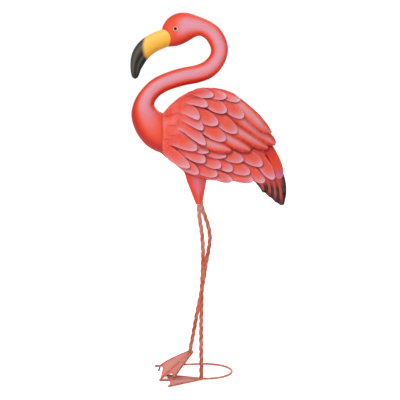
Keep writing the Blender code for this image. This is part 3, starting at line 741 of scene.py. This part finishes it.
# The front of the shoulder is one smooth sheet over the roots of the first row, with
# three creases where it is pressed over them. These are its edges and its creases.
SHOULDER_FRONT = [
    (181, 92.6), (172, 99.6), (165.6, 107.0), (162.6, 113.6), (162.4, 122), (162.6, 131), (163.2, 139.5),
]
SHOULDER_REAR = [(204.5, 84.0), (200, 93), (192, 102), (187, 111), (184.5, 120), (184, 129), (186, 138)]
SHOULDER_CREASES = (
    ((163.6, 117.7), (178.8, 112.8)), ((165.8, 125.3), (179.7, 125.8)), ((167.6, 135.6), (182, 136)),
)
SHOULDER_LIFT = 4.4
SHOULDER_SINK = 0.3
SHOULDER_RIMS = (0.22, 0.35, 0.12)
CREASE_DEPTH = 0.7
CREASE_WIDTH = 0.8


def crease_depth(drawn, start, end):
    """How near each place is to a crease, from 0 to 1."""
    start, end = np.array(start), np.array(end)
    run = end - start
    share = np.clip(((drawn - start) @ run) / (run @ run), 0, 1)
    away = np.linalg.norm(drawn - (start + share[:, None] * run), axis=1)
    return np.exp(-(away / CREASE_WIDTH) ** 2) * np.clip(share * 4, 0, 1)


def shoulder_place(across_share, along_share):
    """Places on the smooth sheet of the shoulder."""
    front = smooth(SHOULDER_FRONT, across_share)
    rear = smooth(SHOULDER_REAR, across_share)
    drawn = front + (rear - front) * along_share[:, None]
    crease = sum(crease_depth(drawn, *line) for line in SHOULDER_CREASES)
    front_rim, rear_rim, low_rim = SHOULDER_RIMS
    rim = np.clip(np.minimum(along_share / front_rim, (1 - along_share) / rear_rim), 0, 1)
    low = np.clip((1 - across_share) / low_rim, 0, 1)
    lift = SHOULDER_LIFT * np.sqrt(rim * (2 - rim)) * low ** 0.5 - CREASE_DEPTH * crease - SHOULDER_SINK
    # The fourth paint value is how near a crease lies; the paint darkens it there as painted shade.
    paints = np.stack([along_share, across_share, np.full(len(rim), 0.5), crease], axis=1)
    return on_flank(drawn, lift, ROOT_FREE), paints


def merge_tip():
    """Merges the points that meet at the tip of a sheet."""
    bpy.ops.mesh.remove_doubles(threshold=TIP_MERGE)


def thicken(piece, depth):
    """Gives a sheet its thickness and softens its cut edges."""
    solid = piece.modifiers.new("Sheet", "SOLIDIFY")
    solid.thickness = depth
    solid.offset = -1
    edge = piece.modifiers.new("Edge", "BEVEL")
    edge.width = depth * EDGE_ROUND
    edge.segments = 2
    edge.limit_method = "ANGLE"
    edge.angle_limit = math.radians(60)
    pick(piece)
    for name in ("Sheet", "Edge"):
        bpy.ops.object.modifier_apply(modifier=name)


def mirrored(piece, name):
    """A copy for the right side, with its faces turned the right way again."""
    twin = piece.copy()
    twin.data = piece.data.copy()
    twin.name = twin.data.name = name
    bpy.context.scene.collection.objects.link(twin)
    for vert in twin.data.vertices:
        vert.co.y = 2 * MIDDLE_Y - vert.co.y
    twin.data.flip_normals()
    return twin


def join(name, pieces):
    """Makes one piece of several and names it."""
    if len(pieces) > 1:
        pick(*pieces)
        bpy.ops.object.join()
    pieces[0].name = pieces[0].data.name = name
    return pieces[0]


def covert_paint():
    """Coral to lilac at the rim of the tip, maroon in the shadow of other feathers."""
    look = Look("feather_coral_to_lilac", 0.52)
    along, _, pale, shade = look.values()
    mottle, streak = look.brushed(26.0)
    place = look.uneven(pale, mottle, 0.34)
    colour = look.ramp(place, (0.08, 225, 76, 52), (0.24, 226, 90, 72), (0.38, 224, 106, 100),
                       (0.54, 220, 122, 126), (0.72, 218, 144, 154), (0.94, 224, 164, 176))
    # Redder at the root: partly the airbrushed root colour, partly painted shade under the feathers that lie
    # over the root.
    root = look.ramp(along, (0.12, 1), (0.50, 0))
    colour = look.tint(colour, root, 0.50, 212, 72, 78)
    rosy = look.ramp(streak, (0.45, 0), (0.70, 1))
    return look.painted(colour, (rosy, 0.30, 222, 116, 124), (shade, 0.62, 134, 22, 46))


def flight_paint():
    """A pink streak along the middle, between coral and red edges."""
    look = Look("flight_feather_pink_streak", 0.50)
    along, across, _, shade = look.values()
    mottle, streak = look.brushed(26.0)
    off = look.maths("ABSOLUTE", look.times(across, 2.0, -0.90))
    off = look.uneven(off, mottle, 0.34)
    tip = look.ramp(along, (0.66, 0), (0.98, 1))
    off = look.times(tip, 0.36, off)
    colour = look.ramp(off, (0.12, 216, 138, 144), (0.40, 220, 116, 112), (0.64, 228, 90, 70),
                       (0.86, 218, 58, 34), (1.00, 190, 42, 34))
    rosy = look.ramp(streak, (0.45, 0), (0.70, 1))
    return look.painted(colour, (rosy, 0.34, 222, 124, 124), (shade, 0.5, 172, 36, 36))


def tail_covert_paint():
    """Red at the root to rose at the tip."""
    look = Look("tail_covert_red_to_rose", 0.50)
    along, _, _, shade = look.values()
    mottle, _ = look.brushed(26.0)
    place = look.uneven(along, mottle, 0.24)
    colour = look.ramp(place, (0.30, 206, 52, 50), (0.50, 220, 62, 38), (0.72, 216, 74, 62),
                       (0.82, 200, 84, 106), (0.96, 206, 104, 124))
    return look.painted(colour, (shade, 0.62, 134, 22, 46))


def shoulder_paint():
    """Coral, rosier to the rear, with painted shade in the creases."""
    look = Look("shoulder_coral", 0.52)
    along, _, _, shade = look.values()
    mottle, _ = look.brushed(30.0)
    colour = look.ramp(mottle, (0.34, 226, 78, 62), (0.50, 234, 94, 80), (0.66, 234, 112, 106))
    rear = look.ramp(along, (0.45, 0), (0.85, 1))
    return look.painted(colour, (rear, 0.6, 224, 94, 100), (shade, 0.55, 150, 34, 50))


COVERT_PAINT = covert_paint()
SHOULDER_PAINT = shoulder_paint()
FINISHES = {"shoulder_feathers": None, "flight_feathers": flight_paint(), "tail_covert": tail_covert_paint()}
laid = []
for row, (level, feathers) in ROWS.items():
    made = []
    at_collar = row in FRONT_ROWS
    for number, (spine, half) in enumerate(feathers):
        line = spine if at_collar else tucked(spine)
        piece = grid(f"left_{row}_{number}", 20, 34, feather_place(level, line, half, laid, at_collar))
        edit(piece, merge_tip)
        made.append(piece)
        laid.append((line, half))
    if row == "shoulder_feathers":
        for piece in made:
            piece.data.materials.append(COVERT_PAINT)
        made.append(grid("left_shoulder_sheet", 48, 30, shoulder_place))
        made[-1].data.materials.append(SHOULDER_PAINT)
    left = join(f"left_{row}_sheet", made)
    thicken(left, SHEET)
    shade_smooth(left, 60)
    right = mirrored(left, f"right_{row}_sheet")
    for piece, hand in ((left, "left"), (right, "right")):
        keep(piece, FINISHES.get(row, COVERT_PAINT), "feather_paint", f"{hand}_{row}")

# The tail is a fan of fluted sheet, folded so that both sides show the flutes, with
# scalloped ends. It is coral at the root and black at the ends.
TAIL_ROOT = np.array([(250.6, 180.0), (268.6, 149.4)])
TAIL_TIP = np.array([
    (254.4, 181.4), (259.3, 187.2), (262.4, 192.2), (264.8, 192.6), (268.8, 196.6), (271.4, 197.8),
    (274.6, 201.6), (277.4, 203.0), (280.8, 205.4), (284.2, 204.4), (286.2, 194.0),
])
TAIL_FLUTES = 5
TAIL_DEPTH = (0.017, 0.0045)
TAIL_BOW = 4.4
TAIL_TAPER = (0.12, 0.76)
TAIL_THINNING = 0.35
FLUTE_DEPTH = 0.0026


def fan_place(around, along):
    """Around runs over the left side from the front edge and back over the right side."""
    left = around <= 0.5
    share = np.where(left, around * 2, 2 - around * 2)
    root = TAIL_ROOT[0] + (TAIL_ROOT[1] - TAIL_ROOT[0]) * share[:, None]
    places = np.linspace(0, 1, len(TAIL_TIP))
    tip = np.stack([np.interp(share, places, TAIL_TIP[:, k]) for k in (0, 1)], axis=1)
    crest = 0.5 + 0.5 * np.cos(2 * math.pi * share * TAIL_FLUTES)
    drawn = root + (tip - root) * along[:, None]
    drawn[:, 0] += TAIL_BOW * np.minimum(1, share * 3) * (1 + 0.2 * share) * 4 * along * (1 - along)
    x, z = side(drawn[:, 0], drawn[:, 1])
    taper = np.sin(math.pi * (TAIL_TAPER[0] + TAIL_TAPER[1] * share))
    depth = TAIL_DEPTH[0] + (TAIL_DEPTH[1] - TAIL_DEPTH[0]) * along
    half = depth * taper * (1 - TAIL_THINNING * along) + FLUTE_DEPTH * crest * np.minimum(1, 0.3 + along)
    y = MIDDLE_Y + np.where(left, -half, half)
    paints = np.stack([along, crest, share, np.zeros(len(along))], axis=1)
    return np.stack([x, y, z], axis=1), paints


def tail_paint():
    """Coral ridges and troughs darkened by painted shade, turning maroon and black to the ends."""
    look = Look("tail_coral_to_black", 0.42, 0.1)
    along, crest, share, _ = look.values()
    mottle, _ = look.brushed(40.0, depth=0.0005)
    # Darker in the troughs of the flutes than on the ridges: painted shade.
    ridge = look.ramp(crest, (0.0, 176, 60, 64), (0.4, 196, 76, 80), (1.0, 220, 76, 52))
    duller = look.ramp(along, (0.48, 0), (0.78, 1))
    ridge = look.tint(ridge, duller, 0.6, 172, 62, 54)
    low = look.ramp(along, (0.80, 0), (0.93, 1))
    ridge = look.tint(ridge, low, 0.85, 104, 18, 44)
    black = look.ramp(mottle, (0.35, 26, 20, 20), (0.65, 66, 60, 58))
    uneven = look.times(mottle, 0.16, -0.08)
    trough = look.ramp(look.maths("ADD", crest, uneven), (0.50, 1), (0.72, 0))
    rear = look.ramp(share, (0.90, 0), (0.94, 1))
    begins = look.ramp(look.maths("ADD", along, uneven), (0.52, 0), (0.68, 1))
    earlier = look.ramp(along, (0.36, 0), (0.50, 1))
    mask = look.maths("MAXIMUM", look.times(trough, begins), look.times(rear, earlier))
    colour = look.blend(mask, ridge, black)
    return look.painted(colour)


tail = grid("tail_fan", 240, 40, fan_place)
edit(tail, weld_and_close)
shade_smooth(tail, 60)
keep(tail, tail_paint(), "tail_paint", "tail")

# The thighs are cones of sheet, welded under the belly, coral with a pink streak down
# the side.
THIGH_TOP = np.array([(183.4, 171.6), (207.4, 176.0)])
THIGH_TIPS = {
    "left": np.array([(196.0, 203.8), (201.2, 203.4)]),
    "right": np.array([(198.8, 201.0), (203.0, 201.0)]),
}
THIGH_SPREAD = 0.017
THIGH_HALF_DEPTH = 0.0125
THIGH_JOIN = 0.25
THIGH_SHADE = 0.18


def belly_height(x, across):
    """The height of the body's underside at places under it."""
    top, bottom, half = read_form(x)
    share = np.minimum(across / half, 0.999) ** FULLNESS
    return (top + bottom) / 2 - (top - bottom) / 2 * (1 - share) ** (1 / FULLNESS)


def thigh_place(hand, tips):
    """How one thigh's grid is placed, from the belly down to its tip."""
    def place(around, along):
        line = THIGH_TOP[None] + (tips - THIGH_TOP)[None] * along[:, None, None]
        front_x, front_z = side(line[:, 0, 0], line[:, 0, 1])
        rear_x, rear_z = side(line[:, 1, 0], line[:, 1, 1])
        turn = 2 * math.pi * around
        depth = THIGH_HALF_DEPTH + ((rear_x - front_x) / 2 - THIGH_HALF_DEPTH) * along ** 2
        share = (1 + np.cos(turn)) / 2
        x = front_x + (rear_x - front_x) * share
        z = front_z + (rear_z - front_z) * share
        y = hand * THIGH_SPREAD + depth * np.sin(turn)
        top = belly_height(x, np.abs(y)) - GAP * 2
        z = z + (top - z) * np.clip(1 - along / THIGH_JOIN, 0, 1)
        shade = np.clip(1 - along / THIGH_SHADE, 0, 1) ** 1.5
        paints = np.stack([along, share, np.zeros(len(x)), shade], axis=1)
        return np.stack([x, y + MIDDLE_Y, z], axis=1), paints
    return place


def thigh_paint():
    """Coral with a pink streak, and painted shade under the belly."""
    look = Look("thigh_coral_and_pink", 0.46, 0.1)
    along, share, _, shade = look.values()
    mottle, _ = look.brushed(26.0, (1.0, 1.0, 0.5))
    off = look.maths("ABSOLUTE", look.times(share, 2.0, -1.15))
    off = look.uneven(off, mottle, 0.36)
    low = look.ramp(along, (0.45, 0), (0.8, 1))
    off = look.times(low, 0.5, off)
    colour = look.ramp(off, (0.12, 214, 112, 132), (0.5, 226, 86, 80), (0.85, 218, 62, 44))
    return look.painted(colour, (shade, 0.85, 112, 18, 36))


THIGH_PAINT = thigh_paint()
for hand, side_name in ((-1, "left"), (1, "right")):
    thigh = grid(f"{side_name}_thigh_cone", 40, 30, thigh_place(hand, THIGH_TIPS[side_name]))
    edit(thigh, weld_and_close)
    shade_smooth(thigh)
    keep(thigh, THIGH_PAINT, "body_paint", f"{side_name}_thigh")

# Each leg is three steel rods twisted together, from the tip of the thigh to the heel,
# painted orange-brown, with a painted pinkish highlight toward the top.
ROD = 0.006
TWIST_PITCH = 0.070
STRANDS = 3
STRAND_RADIUS = 0.0033
LEG_GAP = 0.0016
RINGS_PER_TURN = 20
HEELS = {"left": (1.3, -15.2, 0.0), "right": (-10.1, 8.3, 21.5)}
LEGS = {
    "left": [
        (-0.6, -6.8, 161.5), (0.8, -7.8, 152.5), (2.1, -8.9, 142.3), (3.0, -10.2, 126.1), (2.7, -11.2, 109.6),
        (1.9, -12.2, 94.1), (1.5, -13.2, 74.3), (1.1, -14.2, 56.5), (1.1, -14.8, 32.0), (1.3, -15.2, 12.2)],
    "right": [
        (2.5, 6.4, 167.5), (5.0, 6.8, 160.5), (8.4, 7.3, 150.0), (10.0, 7.3, 138.0), (9.2, 7.3, 130.8),
        (6.1, 7.3, 112.8), (4.0, 7.6, 98.8), (1.0, 7.6, 81.9), (-3.0, 7.6, 61.7), (-5.9, 7.9, 45.6),
        (-8.9, 7.9, 29.4)],
}


def on_statue(point):
    """A point of the legs and feet, given in steps over the middle of a rod on the ground."""
    return Vector(point) * STEP + Vector((SHIFT_X, MIDDLE_Y, ROD / 2))


def placed(name, data):
    """A new object in the scene."""
    made = bpy.data.objects.new(name, data)
    bpy.context.scene.collection.objects.link(made)
    return made


def rod(name, points, radius, sides=3):
    """A rod along a line of points, as a mesh."""
    curve = bpy.data.curves.new(name, "CURVE")
    curve.dimensions = "3D"
    curve.bevel_depth = radius
    curve.bevel_resolution = sides
    curve.use_fill_caps = True
    spline = curve.splines.new("POLY")
    spline.points.add(len(points) - 1)
    for place, point in zip(spline.points, points):
        place.co = (*point, 1.0)
    pick(placed(name, curve))
    bpy.ops.object.convert(target="MESH")
    piece = bpy.context.object
    carry(piece, np.zeros(len(piece.data.vertices) * 4))
    return piece


def leg_paint():
    """Orange-brown with a painted pinkish highlight higher up, and dark where the mesh says so."""
    look = Look("rod_orange_brown", 0.44, 0.1)
    mottle, streak = look.brushed(70.0, (1.0, 1.0, 0.4), 0.0004)
    tone = look.times(streak, 0.5, look.times(mottle, 0.5))
    colour = look.ramp(tone, (0.36, 172, 78, 52), (0.50, 198, 98, 72), (0.64, 214, 144, 132))
    # Painted highlight: the rods turn pinkish-pale with height.
    places = look.add("ShaderNodeTexCoord").outputs["Object"]
    height = look.add("ShaderNodeSeparateXYZ", places).outputs["Z"]
    painted_highlight = look.ramp(look.times(streak, 0.16, height), (0.50, 0), (0.62, 1))
    colour = look.tint(colour, painted_highlight, 0.6, 216, 158, 142)
    return look.painted(look.blend(look.values()[0], colour, paint(92, 20, 40)))


def strands(line):
    """The helices that wind round a leg's line."""
    line = np.array([list(p) for p in line])
    lengths = np.concatenate([[0], np.cumsum(np.linalg.norm(np.diff(line, axis=0), axis=1))])
    run = np.linspace(0, lengths[-1], int(lengths[-1] / TWIST_PITCH * RINGS_PER_TURN))
    i = np.clip(np.searchsorted(lengths, run) - 1, 0, len(lengths) - 2)
    width = lengths[i + 1] - lengths[i]
    slopes = np.gradient(line, lengths, axis=0)
    centre = hermite(line, slopes, i, (run - lengths[i]) / width, width[:, None])
    course = np.gradient(centre, run, axis=0)
    course /= np.linalg.norm(course, axis=1, keepdims=True)
    first = np.cross(course, (0, 1, 0))
    first /= np.linalg.norm(first, axis=1, keepdims=True)
    second = np.cross(course, first)
    wound = []
    for number in range(STRANDS):
        turn = (2 * math.pi * (run / TWIST_PITCH + number / STRANDS))[:, None]
        out = (first * np.cos(turn) + second * np.sin(turn)) * ROD / 2 / math.sin(math.pi / STRANDS)
        wound.append(centre + out)
    return wound


LEG_PAINT = leg_paint()
for hand, side_name in ((-1, "left"), (1, "right")):
    tips = THIGH_TIPS[side_name]
    front_x, bottom_z = side(*tips[0])
    rear_x, _ = side(*tips[1])
    top = Vector(((front_x + rear_x) / 2, hand * THIGH_SPREAD + MIDDLE_Y, bottom_z - LEG_GAP))
    foot = on_statue(HEELS[side_name]) + Vector((0, 0, ROD / 2 + LEG_GAP))
    line = [top] + [on_statue(p) for p in LEGS[side_name]] + [foot]
    wound = [rod(f"{side_name}_strand_{n}", strand, STRAND_RADIUS) for n, strand in enumerate(strands(line))]
    leg = join(f"{side_name}_leg_rods", wound)
    shade_smooth(leg)
    keep(leg, LEG_PAINT, "leg_paint", f"{side_name}_leg")

# Each foot is three toe rods that lie side by side at the heel and spread from it, under
# a weld that holds them to the leg, with a sheet web welded between them. The webs are
# dusty pink, the rods and edges orange.
TOES = {
    "left": ((-34.3, -3.0, 0.0), (-40.4, -21.2, 0.0), (-30.7, -42.04, 0.0)),
    "right": ((-42.4, 14.2, 0.0), (-39.8, -18.5, 0.0), (-26.4, -21.0, 2.4)),
}
TOE_STARTS = {
    "left": ((0.0, 1.2, 0.0), (0.0, 0.0, 0.0), (0.4, -1.4, 0.0)),
    "right": ((-0.4, 1.2, 0.5), (0.8, 0.0, -0.1), (2.3, -1.2, -0.5)),
}
TOE_ARCH = 0.024
TOE_DARK_END = 0.95
TOE_ARCHED = {"left": (0, 0, 0), "right": (1, 0, 0)}
WEB = 0.0014
WEB_FROM = 0.04
WEB_EDGES = {
    "left": ((0.945, 0.0, 0.80), (0.80, 0.055, 0.975)),
    "right": ((0.87, 0.03, 0.98), (0.98, 0.17, 0.97)),
}
# How much grey-mauve painted shadow each web gets, for the shadow that the raised foot casts on the standing
# foot.
WEB_PAINTED_SHADOW = {"left": (0.75, 0.15), "right": (0.0, 0.0)}
WELDS = {"left": (0.4, 0.0, 0.6), "right": (1.4, 0.0, -0.1)}
WELD_HALF = (0.0068, 0.0062, 0.0056)
WELD_OVER_GROUND = 0.0002


def arch(share):
    """How high the far toe of the raised foot bends over the straight line to its tip."""
    return TOE_ARCH * share * np.clip(1 - share, 0, 1) ** 0.2


def web_place(starts, ends, edges, arched, painted_shadow):
    """How the web between two toes is placed, with its front edge cut in."""
    def place(across, along):
        first, notch, second = edges
        cut = first + (second - first) * across - notch * (1 - np.abs(2 * across - 1) ** 1.3)
        reach = WEB_FROM + (cut - WEB_FROM) * along
        near, far = (np.array(a) + (np.array(b) - np.array(a)) * across[:, None] for a, b in (starts, ends))
        points = near + (far - near) * reach[:, None]
        points[:, 2] += arched * arch(reach) * (1 - across)
        edge = np.maximum(2 * np.abs(across - 0.5), np.clip((along - 0.8) / 0.2, 0, 1))
        paints = np.stack([along, across, edge, np.full(len(along), painted_shadow)], axis=1)
        return points, paints
    return place


def web_paint():
    """Dusty pink with warm and cool streaks, orange at the rims, and grey-mauve painted shadow where the
    raised foot shades the standing foot's webs.
    """
    look = Look("web_dusty_pink", 0.5, 0.08)
    _, _, edge, shade = look.values()
    mottle, streak = look.brushed(0.9, (2.4, 0.5, 1.0), 0.0005, look.add("ShaderNodeTexCoord").outputs["UV"])
    rim = look.uneven(edge, mottle, 0.5)
    colour = look.ramp(rim, (0.40, 192, 130, 122), (0.76, 206, 104, 80), (0.98, 206, 86, 46))
    warm = look.ramp(streak, (0.46, 0), (0.66, 1))
    colour = look.tint(colour, warm, 0.75, 214, 102, 84)
    cool = look.ramp(streak, (0.34, 1), (0.48, 0))
    return look.painted(colour, (cool, 0.5, 186, 146, 142), (shade, 0.8, 148, 112, 116))


def darken(piece, dark):
    """Marks the places of a rod that are painted dark."""
    for place, value in zip(piece.data.vertices, piece.data.color_attributes["paint"].data):
        value.color[0] = float(dark(place.co))


def toe(name, start, tip, arched, dark):
    """A toe rod from the heel to its tip, with a dark end where dark is true."""
    shares = np.linspace(0, 1, 24)
    line = [start.lerp(tip, share) + Vector((0, 0, arched * float(arch(share)))) for share in shares]
    piece = rod(name, line, ROD / 2)
    course = tip - start
    darken(piece, lambda place: dark and (place - start).dot(course) / course.length_squared > TOE_DARK_END)
    piece.data.materials.append(LEG_PAINT)
    return piece


def weld(name, middle):
    """The lump of weld at a heel, a little uneven and flat where it meets the ground."""
    bpy.ops.object.select_all(action="DESELECT")
    bpy.ops.mesh.primitive_uv_sphere_add(segments=24, ring_count=14, radius=1, location=(0, 0, 0))
    piece = bpy.context.object
    piece.name = name
    for place in piece.data.vertices:
        x, y, z = place.co
        uneven = 1 + 0.06 * math.sin(5 * x + 2 * z) + 0.05 * math.sin(4 * y - 3 * z)
        spot = middle + Vector((x * WELD_HALF[0], y * WELD_HALF[1], z * WELD_HALF[2])) * uneven
        place.co = (spot.x, spot.y, max(spot.z, WELD_OVER_GROUND))
    carry(piece, np.zeros(len(piece.data.vertices) * 4))
    piece.data.materials.append(LEG_PAINT)
    return piece


WEB_PAINT = web_paint()
for side_name in ("left", "right"):
    heel = on_statue(HEELS[side_name])
    starts = [heel + Vector(p) * STEP for p in TOE_STARTS[side_name]]
    tips = [on_statue(p) for p in TOES[side_name]]
    arches = TOE_ARCHED[side_name]
    pieces = [toe(f"{side_name}_toe_{n}", starts[n], tips[n], arches[n], n == 0) for n in range(3)]
    for n, (edges, painted_shadow) in enumerate(zip(WEB_EDGES[side_name], WEB_PAINTED_SHADOW[side_name])):
        place = web_place(starts[n:n + 2], tips[n:n + 2], edges, arches[n], painted_shadow)
        web = grid(f"{side_name}_web_{n}", 14, 24, place)
        edit(web, merge_tip)
        thicken(web, WEB)
        web.data.materials.append(WEB_PAINT)
        pieces.append(web)
    pieces.append(weld(f"{side_name}_heel_weld", heel + Vector(WELDS[side_name]) * STEP))
    foot = join(f"{side_name}_foot_rods_and_web", pieces)
    shade_smooth(foot)
    keep(foot, None, "foot_paint", f"{side_name}_foot")

# The ground rod is one bent steel rod: from the standing heel round a half circle
# behind the bird and forward again beside the raised foot. It steadies the statue.
LOOP_RADIUS = 0.087
LOOP_AHEAD = 2.6
LOOP_DARK_END = 0.006
FAR_ARM = ((-16.5, 2.1), (-51.0, 9.2))
heel = on_statue(HEELS["left"])
middle = Vector((heel.x + LOOP_AHEAD * STEP, heel.y + LOOP_RADIUS))
points = [(heel.x + ROD * 0.2 + GAP, heel.y, ROD / 2)]
for turn in np.linspace(-math.pi / 2, math.pi / 2, 60):
    points.append((middle.x + LOOP_RADIUS * math.cos(turn), middle.y + LOOP_RADIUS * math.sin(turn), ROD / 2))
far_line = smooth([(0.0, 0.0), *FAR_ARM], np.linspace(0, 1, 16))[1:]
for ahead, inward in far_line:
    points.append((middle.x + ahead * STEP, middle.y + LOOP_RADIUS - inward * STEP, ROD / 2))
loop = rod("ground_rod_steel", points, ROD / 2, 4)
darken(loop, lambda place: (place - Vector(points[-1])).length < LOOP_DARK_END)
shade_smooth(loop)
keep(loop, LEG_PAINT, "leg_paint", "ground_rod")

# The studio: a plain pale floor, soft lights and a camera at the photograph's angle,
# a little above the middle of the bird and level with its left side.
WORLD_BEHIND_CAMERA = 0.69
WORLD_BEHIND_BIRD = 1.06
WORLD_FADE = (-0.6, 0.5)
FLOOR_GLOW = 0.5
CAMERA_PITCH = 5.503
CAMERA_LENS = 89.916
bpy.ops.mesh.primitive_plane_add(size=40, location=(0, 0, -0.0002))
floor = bpy.context.object
floor.name = "floor"
look = Look("floor_white", 0.9)
look.surface["Base Color"].default_value = (0.97, 0.97, 0.97, 1.0)
look.surface["Specular IOR Level"].default_value = 0.0
look.surface["Emission Color"].default_value = (1.0, 1.0, 1.0, 1.0)
seen = look.add("ShaderNodeLightPath").outputs["Is Camera Ray"]
look.plug(look.times(seen, FLOOR_GLOW), look.surface["Emission Strength"])
floor.data.materials.append(look.material)

world = bpy.data.worlds.new("studio")
bpy.context.scene.world = world
world.use_nodes = True
sky = Nodes(world.node_tree)
view = sky.add("ShaderNodeTexCoord").outputs["Generated"]
depth = sky.add("ShaderNodeSeparateXYZ", view).outputs["Y"]
fade = sky.add("ShaderNodeMapRange", depth, *WORLD_FADE, WORLD_BEHIND_CAMERA, WORLD_BEHIND_BIRD).outputs[0]
seen = sky.add("ShaderNodeLightPath").outputs["Is Camera Ray"]
backdrop = world.node_tree.nodes["Background"].inputs
backdrop["Strength"].default_value = 1.0
sky.plug(sky.maths("MAXIMUM", fade, seen), backdrop["Color"])


def soft_light(name, place, target, size, power):
    """A round soft light that is turned to a target."""
    lamp = bpy.data.lights.new(name, "AREA")
    lamp.shape = "DISK"
    lamp.size = size
    lamp.energy = power
    made = placed(name, lamp)
    made.location = place
    made.rotation_euler = (Vector(target) - Vector(place)).to_track_quat("-Z", "Y").to_euler()


soft_light("key_light", (-1.5, -2.4, 3.0), (0, 0, 0.7), 1.2, 38)
soft_light("top_light", (0.6, 1.2, 3.2), (0, 0, 0.5), 2.0, 22)

lens = bpy.data.cameras.new("camera")
lens.lens = CAMERA_LENS
lens.sensor_width = 36.0
camera = placed("camera", lens)
camera.location = (SHIFT_X, MIDDLE_Y - VIEW_DISTANCE, VIEW_LEVEL)
camera.rotation_euler = (math.radians(90 - CAMERA_PITCH), 0, 0)
bpy.context.scene.camera = camera
bpy.context.scene.view_settings.view_transform = "Standard"
